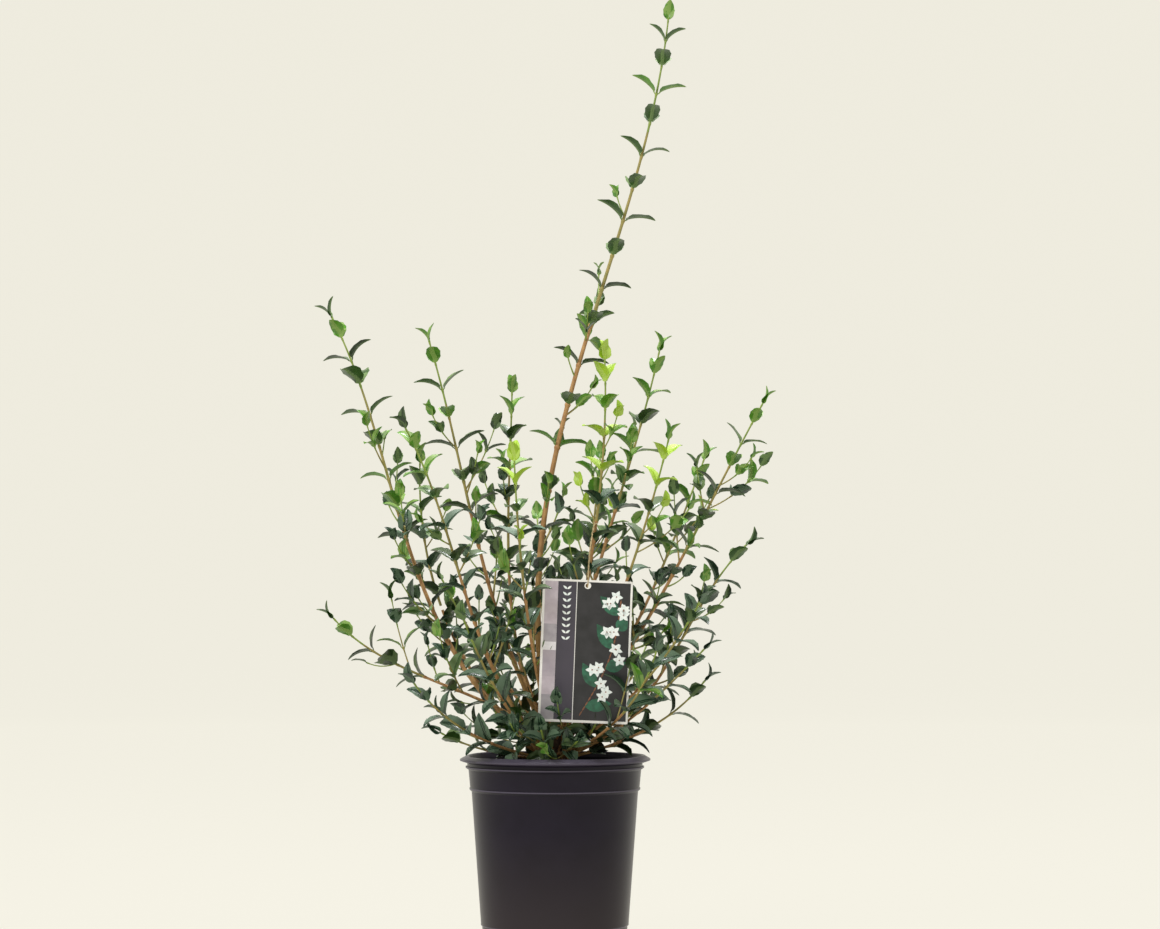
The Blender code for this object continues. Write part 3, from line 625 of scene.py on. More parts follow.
@dataclass
class Pot:
    """The round nursery pot: foot, tapered wall, band, neck and a thin turned-out lip."""

    lip_radius: float = 95 * MM
    lip_inner_radius: float = 86.3 * MM
    lip_top: float = 190.5 * MM
    lip_edge_top: float = 187.0 * MM
    lip_edge_bottom: float = 185.4 * MM
    neck_top: float = 183 * MM
    neck_bottom: float = 178.4 * MM
    neck_radius: float = 88.4 * MM
    bead: float = 0.9 * MM
    # In beads: a ring line's flat and foot, the foot's ledge, the neck's step, and the lip's slope and flat
    bead_flat: float = 1.6
    bead_foot: float = 2.1
    ledge_proud: float = 0.3
    neck_step: float = -1.2
    lip_slope: float = 1.5
    lip_flat: float = 3
    band_top: float = 176.5 * MM
    band_top_radius: float = 86.0 * MM
    band_bottom: float = 157 * MM
    band_bottom_radius: float = 84.2 * MM
    wall_top: float = 155 * MM
    wall_top_radius: float = 82.9 * MM
    wall_taper_deg: float = 4.15
    foot_top: float = 22 * MM
    foot_step: float = 1 * MM
    wall: float = 1.5 * MM
    floor: float = 1.8 * MM
    drain_holes: int = 5
    drain_radius: float = 5 * MM
    drain_ring_radius: float = 50 * MM
    drain_sides: int = 32
    drain_depth: float = 10.8 * MM
    sides: int = 144
    edge_round: float = 0.5 * MM
    edge_angle_deg: float = 22
    # The count, phase and height of each wave round the lip
    lip_waves: tuple[tuple[int, float, float], ...] = ((3, 0.8, 0.5), (5, 2.1, 0.35))
    wave_out_mm: float = 0.7
    wave_up_mm: float = 0.5
    dent_at_deg: float = 205
    dent_width_deg: float = 18
    dent_in_mm: float = 1.6
    dent_down_mm: float = 0.8
    lip_reach: float = 4 * MM

    def wall_radius(self, height: float) -> float:
        """The wall's outer radius at a height."""
        return self.wall_top_radius - (self.wall_top - height) * tan(radians(self.wall_taper_deg))

    def inner_outline(self) -> list[tuple[float, float]]:
        """The inner wall's outline, from the floor up.

        Returns:
            Points of radius and height.
        """
        thick = self.wall + self.foot_step
        over_foot = self.foot_top + 2 * self.foot_step
        return [
            (self.wall_radius(self.floor) - thick, self.floor),
            (self.wall_radius(over_foot) - thick, over_foot),
            (self.wall_radius(over_foot + self.wall) - self.wall, over_foot + self.wall),
            (self.wall_top_radius - self.wall, self.wall_top),
            (self.band_bottom_radius - self.wall, self.band_bottom),
            (self.band_top_radius - self.wall, self.band_top),
        ]

    def ring_line(self, radius: float, height: float, proud: float, above: float) -> Outline:
        """The outline of a thin moulded ring line, in beads.

        Args:
            radius: The radius that it stands on.
            height: Its lower edge.
            proud: How many beads it stands out.
            above: How many beads the wall above it stands out.

        Returns:
            Points of radius and height.
        """
        bead = self.bead
        return [
            (radius + proud * bead, height),
            (radius + proud * bead, height + self.bead_flat * bead),
            (radius + above * bead, height + self.bead_foot * bead),
        ]

    def outline(self) -> list[tuple[float, float]]:
        """The whole outline: underside, outer wall with its ring lines, lip, inner wall and floor.

        Returns:
            Points of radius and height.
        """
        bead, step = self.bead, self.foot_step
        foot_radius = self.wall_radius(0) - step
        ledge_radius = self.wall_radius(self.foot_top) + self.ledge_proud * bead
        outer = [
            (0.0, 0.0),
            (foot_radius - step, 0.0),
            (foot_radius, step),
            (self.wall_radius(self.foot_top) - step, self.foot_top),
            (ledge_radius, self.foot_top + step),
            (ledge_radius, self.foot_top + 2 * step),
            (self.wall_radius(self.foot_top + 3 * step), self.foot_top + 3 * step),
            (self.wall_top_radius, self.wall_top),
            *self.ring_line(self.band_bottom_radius, self.band_bottom, 1.0, 0.2),
            (self.band_top_radius, self.band_top),
            *self.ring_line(self.neck_radius, self.neck_bottom, 0.6, self.neck_step),
            (self.neck_radius + self.neck_step * bead, self.neck_top),
            (self.lip_radius - bead, self.lip_edge_bottom),
            (self.lip_radius, self.lip_edge_bottom + self.ledge_proud * bead),
            (self.lip_radius, self.lip_edge_top),
            (self.lip_radius - self.lip_slope * bead, self.lip_edge_top + bead),
            (self.lip_inner_radius + self.lip_flat * bead, self.lip_top),
            (self.lip_inner_radius + bead, self.lip_top),
            (self.lip_inner_radius, self.lip_top - bead),
        ]
        return outer + self.inner_outline()[::-1] + [(0.0, self.floor)]

    def drain(self, pot: Object) -> None:
        """Cuts the drain holes through the floor.

        Args:
            pot: The turned pot.
        """
        for index in range(self.drain_holes):
            angle = tau * index / self.drain_holes
            middle = (self.drain_ring_radius * cos(angle), self.drain_ring_radius * sin(angle), 0.0)
            size = {"vertices": self.drain_sides, "radius": self.drain_radius, "depth": self.drain_depth}
            drill(pot, location=middle, **size)

    def ripple(self, pot: Object) -> None:
        """Makes the thin lip a little wavy, as a warm-moulded rim that has been handled is.

        Args:
            pot: The turned pot.
        """
        for vertex in pot.data.vertices:
            share = (vertex.co.z - self.neck_top) / (self.lip_top - self.neck_top)
            radius = vertex.co.xy.length
            if share <= 0 or radius < self.neck_radius - self.lip_reach:
                continue
            angle = atan2(vertex.co.y, vertex.co.x)
            wave = sum(height * sin(count * angle + phase) for count, phase, height in self.lip_waves)
            from_dent = degrees(angle) % 360 - self.dent_at_deg
            dent = exp(-(from_dent / self.dent_width_deg) ** 2)
            share = min(1.0, share)
            factor = 1 + share * (wave * self.wave_out_mm - self.dent_in_mm * dent) * MM / radius
            vertex.co.x *= factor
            vertex.co.y *= factor
            vertex.co.z += share * (wave * self.wave_up_mm - self.dent_down_mm * dent) * MM

    def build(self) -> None:
        """Turns the pot, drains it, rounds its edges and dresses it."""
        pot = spin_outline(self.outline(), self.sides)
        self.drain(pot)
        limit = radians(self.edge_angle_deg)
        bevel = {"width": self.edge_round, "segments": 2, "limit_method": "ANGLE", "angle_limit": limit}
        apply_modifier(pot, "BEVEL", **bevel)
        self.ripple(pot)
        dress(pot, "nursery_pot", [MOULDED_POLYPROPYLENE], ["pot"], 30.0)


@dataclass(frozen=True)
class Crumbs:
    """Loose angular crumbs: their name, finish, number, sizes and height as a share of their size."""

    name: str
    finish: Finish
    count: int
    sizes_mm: Spread
    flat: float
    long: Spread = (0.6, 1.3)
    wide: Spread = (0.4, 0.9)
    tip: float = 0.6
    sunk: float = 0.4


CRUMBS = (
    Crumbs("bark_chips", BARK_CHIP, 900, (1.5, 5.5), 0.45),
    Crumbs("perlite_grains", PERLITE, 42, (1.2, 3.0), 0.9),
)


@dataclass
class PottingSoil:
    """The compost that fills the pot, with chips of bark and grains of perlite on top."""

    pot: Pot
    top: float = SOIL_TOP
    sides: int = 96
    ring_width: float = 3 * MM
    lump_mm: float = 1.7
    coarse: float = 14 * MM
    fine: float = 4 * MM
    fine_share: float = 0.45
    noise_slices: tuple[float, float] = (0.3, 0.7)
    edge_drop: float = 1.5 * MM
    edge_strip: float = 3 * MM
    bare_middle: float = 0.02
    seed: int = 7

    def height(self, x: float, y: float) -> float:
        """The height of the lumpy top at a place.

        Args:
            x: The place's X.
            y: The place's Y.

        Returns:
            The height above the pot's underside.
        """
        coarse = noise.noise(Vector((x, y, self.noise_slices[0])) / self.coarse)
        fine = noise.noise(Vector((x, y, self.noise_slices[1])) / self.fine)
        return self.top + (coarse + self.fine_share * fine) * self.lump_mm * MM

    def build_bed(self) -> None:
        """Extrudes the bed up the inner wall, insets its top in rings and makes it lumpy."""
        wall = [(radius - SEAT_GAP, height) for radius, height in self.pot.inner_outline()]
        wall[0] = (wall[0][0], self.pot.floor + SEAT_GAP)
        edge_radius, edge_height = wall[-1][0], self.top - self.edge_drop
        wall[-1] = (edge_radius, edge_height)
        insets = [(self.ring_width, 0.0)] * (int(edge_radius / self.ring_width) - 1)
        bed = stack_rings(wall, self.sides, insets)
        rim = edge_radius - self.ring_width / 2
        for vertex in bed.data.vertices:
            if vertex.co.z > edge_height - SEAT_GAP and vertex.co.xy.length < rim:
                vertex.co.z = self.height(vertex.co.x, vertex.co.y)
        dress(bed, "compost_bed", [PEAT_COMPOST], ["potting_soil"])

    def scatter(self, crumbs: Crumbs) -> None:
        """Scatters crumbs over the bed, each an uneven eight-sided grain.

        Args:
            crumbs: What they are like.
        """
        draw = Random(f"{self.seed} {crumbs.name}")
        joined = JoinedMesh()
        ends = ((1, 0, 0), (0, 1, 0), (-1, 0, 0), (0, -1, 0), (0, 0, 1), (0, 0, -1))
        corners = [Vector(end) for end in ends]
        faces = [(0, 1, 4), (1, 2, 4), (2, 3, 4), (3, 0, 4), (1, 0, 5), (2, 1, 5), (3, 2, 5), (0, 3, 5)]
        reach = self.pot.band_top_radius - self.pot.wall - self.edge_strip
        for _ in range(crumbs.count):
            radius = reach * sqrt(draw.uniform(self.bare_middle, 1.0))
            angle = draw.uniform(0, tau)
            x, y = radius * cos(angle), radius * sin(angle)
            size = draw.uniform(*crumbs.sizes_mm) * MM / 2
            turn = Matrix.Rotation(draw.uniform(0, tau), 3, "Z")
            turn = turn @ Matrix.Rotation(draw.uniform(-crumbs.tip, crumbs.tip), 3, "X")
            middle = Vector((x, y, self.height(x, y) + size * crumbs.flat * crumbs.sunk))
            points = []
            for corner in corners:
                long, wide = corner.x * draw.uniform(*crumbs.long), corner.y * draw.uniform(*crumbs.wide)
                points.append(middle + turn @ Vector((long, wide, corner.z * crumbs.flat)) * size)
            joined.add(np.array(points), faces)
        dress(joined.build(crumbs.name), crumbs.name, [crumbs.finish], smooth_deg=20.0)

    def build(self) -> None:
        """Makes the bed, the chips and the perlite."""
        self.build_bed()
        for crumbs in CRUMBS:
            self.scatter(crumbs)


class StemLine:
    """A smooth middle line: points at even steps, with the direction at each."""

    STEP = 2 * MM
    END_SHARE = 1.001

    def __init__(self, start: Vector, directions: list[Vector]) -> None:
        """Grows the line.

        Args:
            start: Its first point.
            directions: Its direction at each point.
        """
        self.directions = directions
        self.points = [start]
        for direction in directions[:-1]:
            self.points.append(self.points[-1] + direction * self.STEP)
        self.length = (len(directions) - 1) * self.STEP

    def at(self, distance: float) -> tuple[Vector, Vector]:
        """Finds a place on the line.

        Args:
            distance: How far along the line it is.

        Returns:
            The point and the direction there.
        """
        place = min(max(distance / self.STEP, 0.0), len(self.points) - self.END_SHARE)
        index = int(place)
        share = place - index
        point = self.points[index].lerp(self.points[index + 1], share)
        direction = self.directions[index].lerp(self.directions[index + 1], share).normalized()
        return point, direction

    def side_way(self, distance: float, angle: float) -> Vector:
        """Finds a way square to the line.

        Args:
            distance: How far along the line it is.
            angle: Its turn round the line from the upright way, in radians.

        Returns:
            The way.
        """
        direction = self.at(distance)[1]
        level = direction.cross(UP).normalized()
        return level.cross(direction) * cos(angle) + level * sin(angle)


@dataclass(frozen=True)
class Shoot:
    """One shoot: its heading in degrees, its length in millimetres, and its leans at foot, middle and tip.

    A shoot with a bare length has a bough of that length below its foliage. Lime runs from 0, old, to 1.
    """

    name: str
    heading: float
    length: float
    leans: Triple
    foot: float
    bare: float = 0
    twigs: int = 1
    lime: float = 0.0
    phase: float = 0
    offset: float = 0
    least_radius: float = 1.15
    thickening: float = 0.0033

    def line(self) -> StemLine:
        """Grows the shoot's middle line, which stays in one upright plane.

        Returns:
            The line from the foot inside the trunk to the tip.
        """
        heading = radians(self.heading)
        out = Vector((cos(heading), sin(heading), 0.0))
        foot, middle, tip = self.leans
        steps = round(self.length * MM / StemLine.STEP)
        directions = []
        for step in range(steps + 1):
            share = step / steps
            lean = foot * (1 - share) * (1 - 2 * share) + middle * 4 * share * (1 - share)
            lean += tip * share * (2 * share - 1)
            directions.append(out * sin(radians(lean)) + UP * cos(radians(lean)))
        return StemLine(out * self.offset * MM + UP * (SOIL_TOP + self.foot * MM), directions)

    def radius(self, distance: float) -> float:
        """The radius at a distance from the foot, without the swellings.

        Args:
            distance: How far along the shoot it is.

        Returns:
            The radius there.
        """
        foot_radius = (self.least_radius + self.thickening * self.length) * MM
        share = min(1.0, distance / (self.length * MM))
        return foot_radius + (STEM_TIP_RADIUS - foot_radius) * share


# Heights of the shoots' feet above the soil, inside the trunk, in millimetres
LOW, MIDDLE, HIGH, CROWN = 9, 15, 21, 32

SHOOTS = (
    Shoot("leader", 6, 745, (-16, 16, 6), CROWN, bare=120, twigs=2, phase=90),
    Shoot("left_tall", 170, 512, (62, 19, 28), MIDDLE, bare=120, twigs=3),
    Shoot("right_tall", -6, 405, (42, 29, 29), HIGH, bare=105, twigs=3),
    Shoot("left_inner", -169, 415, (30, 14, 17), CROWN, bare=100, twigs=2, offset=5.5),
    Shoot("right_upright", 29, 410, (9, 19, 14), CROWN, bare=105, twigs=2, lime=0.25, offset=5.5),
    Shoot("left_front", -141, 375, (57, 22, 35), MIDDLE, bare=80, twigs=2),
    Shoot("front_tall", -50, 385, (16, 13, -4), CROWN, bare=100, twigs=2, lime=0.75, offset=5.5),
    Shoot("right_front", -39, 345, (31, 25, 17), MIDDLE, bare=95, twigs=2, lime=0.75),
    Shoot("back_left", 123, 390, (55, 6, -2), HIGH, bare=100, twigs=2),
    Shoot("left_back", 148, 365, (61, 28, -3), LOW, bare=90, twigs=2),
    Shoot("right_back", 33, 350, (47, 30, 24), HIGH, bare=95, twigs=2, lime=0.7),
    Shoot("front_slender", -110, 310, (39, 21, 6), HIGH, bare=75, twigs=2, lime=0.8),
    Shoot("right_spreading", 17, 305, (84, 33, 49), MIDDLE, bare=90, twigs=2),
    Shoot("left_low", -175, 260, (44, 68, 40), HIGH, bare=75, twigs=2),
    Shoot("back_spreading", 96, 315, (60, 36, 30), MIDDLE, bare=80, twigs=2),
    Shoot("back_upright", 70, 330, (42, 22, 16), HIGH, bare=85, twigs=2),
    Shoot("left_short", 158, 200, (45, 37, 28), CROWN, offset=5),
    Shoot("right_low_front", -20, 195, (72, 52, 45), LOW),
    Shoot("right_low", 5, 175, (78, 64, 36), LOW),
    Shoot("front_right_short", -47, 190, (71, 55, 20), LOW),
    Shoot("back_left_low", 118, 215, (72, 60, 38), LOW),
    Shoot("back_right_low", 59, 220, (72, 60, 38), LOW),
    Shoot("front_left_low", -122, 220, (66, 48, 34), LOW),
    Shoot("left_front_low", -145, 190, (80, 66, 38), LOW),
    Shoot("front_right_low", -36, 235, (66, 48, 34), MIDDLE),
    Shoot("inner_left", -140, 120, (30, 24, 14), CROWN, offset=6),
    Shoot("inner_back", 95, 165, (24, 18, 10), CROWN, offset=6),
    Shoot("inner_right", -2, 150, (18, 30, 16), CROWN, offset=5),
    Shoot("inner_front", -78, 105, (48, 16, 4), HIGH),
    Shoot("left_rim", 178, 120, (84, 78, 60), LOW),
    Shoot("back_rim", 84, 130, (84, 76, 58), LOW),
    Shoot("front_rim", -76, 95, (84, 80, 68), MIDDLE),
    Shoot("front_low", -98, 100, (80, 70, 52), LOW),
    Shoot("inner_left_low", -164, 85, (70, 50, 30), LOW),
    Shoot("inner_right_low", 38, 98, (66, 50, 30), LOW),
    Shoot("inner_core", 62, 115, (20, 14, 8), CROWN, offset=6),
)


@dataclass(frozen=True)
class BasalShoots:
    """The short leafy shoots round the stool, spread by the golden angle, in millimetres and degrees."""

    count: int = 11
    first_heading: float = -70
    lengths: Spread = (46, 84)
    foot_leans: Spread = (55, 80)
    middle_leans: Spread = (35, 72)
    tip_leans: Spread = (15, 50)

    def shoots(self) -> tuple[Shoot, ...]:
        """Makes the shoots.

        Returns:
            The shoots.
        """
        draw = Random("basal shoots")
        shoots = []
        for index in range(self.count):
            spreads = (self.foot_leans, self.middle_leans, self.tip_leans)
            leans = tuple(draw.uniform(*spread) for spread in spreads)
            length = draw.uniform(*self.lengths)
            foot = draw.choice((LOW, MIDDLE, HIGH))
            heading = GOLDEN_ANGLE * index + self.first_heading
            shoots.append(Shoot(f"basal_{index}", heading, length, leans, foot))
        return tuple(shoots)


@dataclass(frozen=True)
class LeafForm:
    """The build of a leaf: a short stalk and a channelled, arched, pointed blade with a faintly toothed edge.

    Shares are of the leaf's length. The blade is closed: its two sides meet at the edge. Each station before
    the tip has six points across the upper side and one below the rib.
    """

    stations: tuple[float, ...] = (0.0, 0.07, 0.11, 0.17, 0.26, 0.37, 0.49, 0.61, 0.73, 0.85, 0.94, 1.0)
    stalk_share: float = 0.09
    stalk_end: float = 0.12
    stalk_radius_mm: float = 0.5
    blade_thickness_mm: float = 0.35
    rib_mm: float = 0.32
    rib_taper: float = 1.2
    widest_rib: float = 0.35
    tooth: float = 0.045
    base_power: float = 0.56
    tip_power: float = 0.86
    edge_waves: float = 9
    edge_shift: float = 2

    def half_width(self, share: float, width: float) -> float:
        """Half of the leaf's width at a share of its length.

        Args:
            share: The place along the leaf.
            width: The blade's greatest width.

        Returns:
            The half width there.
        """
        stalk = self.stalk_radius_mm * MM
        if share <= self.stalk_share:
            return stalk
        blade = (share - self.stalk_share) / (1 - self.stalk_share)
        peak = self.base_power / (self.base_power + self.tip_power)
        top = peak ** self.base_power * (1 - peak) ** self.tip_power
        half = width / 2 * blade ** self.base_power * (1 - blade) ** self.tip_power / top
        return max(0.0, half) + stalk * (1 - blade)

    def faces(self) -> tuple[list[Face], list[int]]:
        """The leaf's faces and their material slots.

        Returns:
            The faces and the slot of each.
        """
        upper, under, rib = 0, 1, 2
        faces: list[Face] = [tuple(range(7))]
        slots = [rib]
        last = len(self.stations) - 2
        for station in range(last):
            low, high = station * 7, station * 7 + 7
            stalk = self.stations[station] < self.stalk_share
            for column in range(5):
                faces.append((low + column, high + column, high + column + 1, low + column + 1))
                slots.append(rib if stalk or column == 2 else upper)
            faces += [(low, low + 6, high + 6, high), (low + 6, low + 5, high + 5, high + 6)]
            slots += [rib, rib] if stalk else [under, under]
        low, tip = last * 7, last * 7 + 7
        faces += [(low + column, tip, low + column + 1) for column in range(5)]
        faces += [(low, low + 6, tip), (low + 6, low + 5, tip)]
        slots += [upper] * 5 + [under] * 2
        return faces, slots

    def points(self, length: float, width: float, bend: float, fold: float, wave: float) -> np.ndarray:
        """The leaf's points, with its foot at the origin, its tip on +X and its upper side to +Z.

        Args:
            length: From the foot of the stalk to the tip.
            width: The blade's greatest width.
            bend: The angle that the leaf arches through, in radians.
            fold: How steeply the halves of the blade rise from the rib.
            wave: How much the edges wave.

        Returns:
            The points, one row each.
        """
        shares = np.array(self.stations)
        steps = np.diff(shares, prepend=0.0)
        angles = bend * (0.5 - (shares - steps / 2))
        x, z = np.cumsum(steps * np.cos(angles)), np.cumsum(steps * np.sin(angles))
        chord = hypot(x[-1], z[-1])
        tilt = -atan2(z[-1], x[-1])
        x, z = x * cos(tilt) - z * sin(tilt), x * sin(tilt) + z * cos(tilt)
        x, z, angles = x * length / chord, z * length / chord, angles + tilt
        rows = []
        for index, share in enumerate(self.stations[:-1]):
            half = self.half_width(share, width) * (1 + self.tooth * (-1) ** index)
            rib = min(self.rib_mm * MM * (self.rib_taper - share), self.widest_rib * half)
            stalk = share < self.stalk_end
            normal = (-sin(angles[index]), cos(angles[index]))
            for across in (-half, -half / 2, -rib, rib, half / 2, half):
                ratio = abs(across) / half
                swing = sin(self.edge_waves * share + (self.edge_shift if across > 0 else 0))
                rise = fold * half * ratio ** 1.5 + wave * half * ratio ** 2 * swing
                rise = 0.0 if stalk else rise
                rows.append((x[index] + rise * normal[0], across, z[index] + rise * normal[1]))
            depth = 2 * self.stalk_radius_mm * MM if stalk else self.blade_thickness_mm * MM
            rows.append((x[index] - depth * normal[0], 0.0, z[index] - depth * normal[1]))
        rows.append((x[-1], 0.0, z[-1]))
        return np.array(rows)


@dataclass(frozen=True)
class Leaf:
    """One leaf on the plant: where it grows, the way it points, its size and its tone."""

    root: Vector
    along: Vector
    face: Vector
    length: float
    tone: Tone


@dataclass(frozen=True)
class LeafPair:
    """What the two leaves of a node share: shoot, place, stem direction, length, lift, sink and tone."""

    owner: str
    root: Vector
    direction: Vector
    length: float
    lift: float
    sink: float
    tone: Tone

    def node(self) -> tuple[Any, ...]:
        """The key of the pair's node, so that twin leaves may touch at their feet."""
        return self.owner, self.root.to_tuple(4)


@dataclass(frozen=True)
class Stem:
    """A stretch of stem: its line from start to end, its radii there, its nodes and how ripe it is."""

    line: StemLine
    start: float
    end: float
    radii: tuple[float, float]
    nodes: tuple[float, ...] = ()
    ripeness: float = 1.0

    def radius(self, share: float) -> float:
        """The radius at a share of the stretch."""
        return self.radii[0] + (self.radii[1] - self.radii[0]) * share


@dataclass(frozen=True)
class ToneRule:
    """How tones are dealt: young leaves are fresh or lime, and a light share that grows with height paints
    light and shade, so high leaves get the pale tones, which also stand for light shining through them, and
    low leaves the bluish and deep tones as painted shade.
    """

    shade_top: float = 330 * MM
    shade_fade: float = 190 * MM
    least_light: float = 0.08
    lime_pairs: float = 9
    fresh_shares: tuple[float, ...] = (0.72, 0.72, 0.38, 0.38, 0.18)
    bluish_share: float = 0.65
    dark_share: float = 0.3
    dark_gain: float = 0.4

    def deal(self, shoot: Shoot, pair: int, height: float, draw: Random) -> Tone:
        """Deals a tone to a pair of leaves by its age and by its height, which stands in for the light on it.

        Args:
            shoot: The shoot that it grows on.
            pair: Its number from the tip.
            height: Its height above the floor.
            draw: The seeded source of chance.

        Returns:
            The tone.
        """
        chance = draw.random()
        # Painted light and shade: the light share rises with height, from least_light at shade_top to full
        # light at shade_top plus shade_fade
        light = min(1.0, max(self.least_light, (height - self.shade_top) / self.shade_fade))
        lime = shoot.lime * max(0.0, 1 - pair / self.lime_pairs) * light
        if chance < lime:
            return Tone.LIME
        if chance < lime + self.fresh_shares[min(pair, len(self.fresh_shares) - 1)] * light:
            return Tone.FRESH
        if draw.random() < self.bluish_share * (1 - light):
            return Tone.BLUISH
        return Tone.DARK if draw.random() < self.dark_share + self.dark_gain * light else Tone.DEEP


@dataclass(frozen=True)
class TwigRule:
    """One kind of side twig: its lengths, and its leaves' size as a share of the full one."""

    lengths_mm: Spread
    leaf_size: float
    internode: float = 24 * MM
    first_pair: float = 9 * MM
    angle_deg: float = 46
    turns: tuple[int, ...] = (0, 70, -70, 140, -140)
    upturn: float = 0.9
    radius_share: float = 0.62
    least_radius_mm: float = 0.75
    thickening: float = 0.007
    tip_radius: float = 0.5 * MM
    ripe_length: float = 200 * MM

    def line(self, start: Vector, direction: Vector, length: float) -> StemLine:
        """Grows a twig's middle line, which turns upwards.

        Args:
            start: Its foot, in the middle of the stem that it grows on.
            direction: Its first direction.
            length: Its length.

        Returns:
            The line.
        """
        target = (direction + UP * self.upturn).normalized()
        steps = max(2, round(length / StemLine.STEP))
        directions = [direction.lerp(target, step / steps).normalized() for step in range(steps + 1)]
        return StemLine(start.copy(), directions)


@dataclass(frozen=True)
class GrowthRule:
    """How leaves and twigs are set: opposite pairs, each crossing the last, opening out below the tip.

    Lifts and turns are in degrees. The envelope's shares are of the leaf's length.
    """

    leaf_length: float = 32.5 * MM
    length_spread: Spread = (0.9, 1.08)
    young_share: float = 0.7
    young_internode: float = 22 * MM
    full_internode: float = 29 * MM
    internode_growth: float = 0.028
    internode_spread: Spread = (0.9, 1.1)
    pairs_to_full_size: int = 3
    pairs_to_full_lift: int = 2
    tip_lift: float = 22
    full_lift: float = 60
    lift_spread: Spread = (-7, 7)
    turn_spread: Spread = (-10, 10)
    sink: float = 0.12
    steepest_drop: float = -0.3
    levelling: float = 0.7
    clearance: float = 0.25 * MM
    lowest_leaf: float = 184 * MM
    turns: tuple[int, ...] = (0, 14, -14, 28, -28, 42, -42)
    envelope_half: float = 0.25
    envelope_widest: float = 0.45
    envelope_rise: float = 0.12
    envelope_depth: float = 0.06
    limb_ring: float = 25 * MM
    first_pair: float = 12 * MM
    tip_bud: float = 4 * MM
    side_twig: TwigRule = TwigRule((50, 78), 0.92)
    side_twig_span: float = 0.62
    side_twig_spread: Spread = (0.25, 0.75)
    fine_twig: TwigRule = TwigRule((20, 52), 0.78)
    fine_twig_span: float = 0.72
    fine_twig_spacing: float = 40 * MM
    fine_twig_start: Spread = (0.3, 1.0)
    fine_twig_spread: Spread = (0.7, 1.3)
    bare_share: float = 0.8
    tones: ToneRule = ToneRule()


def touch_shape(points: Sequence[Vector], faces: Sequence[Face]) -> tuple[Vector, float, BVHTree]:
    """Makes what a touch test needs.

    Args:
        points: The shape's points.
        faces: Its faces.

    Returns:
        Its middle, its reach from there and its search tree.
    """
    middle = sum((Vector(point) for point in points), Vector()) / len(points)
    reach = max((Vector(point) - middle).length for point in points)
    return middle, reach, BVHTree.FromPolygons([tuple(point) for point in points], faces)


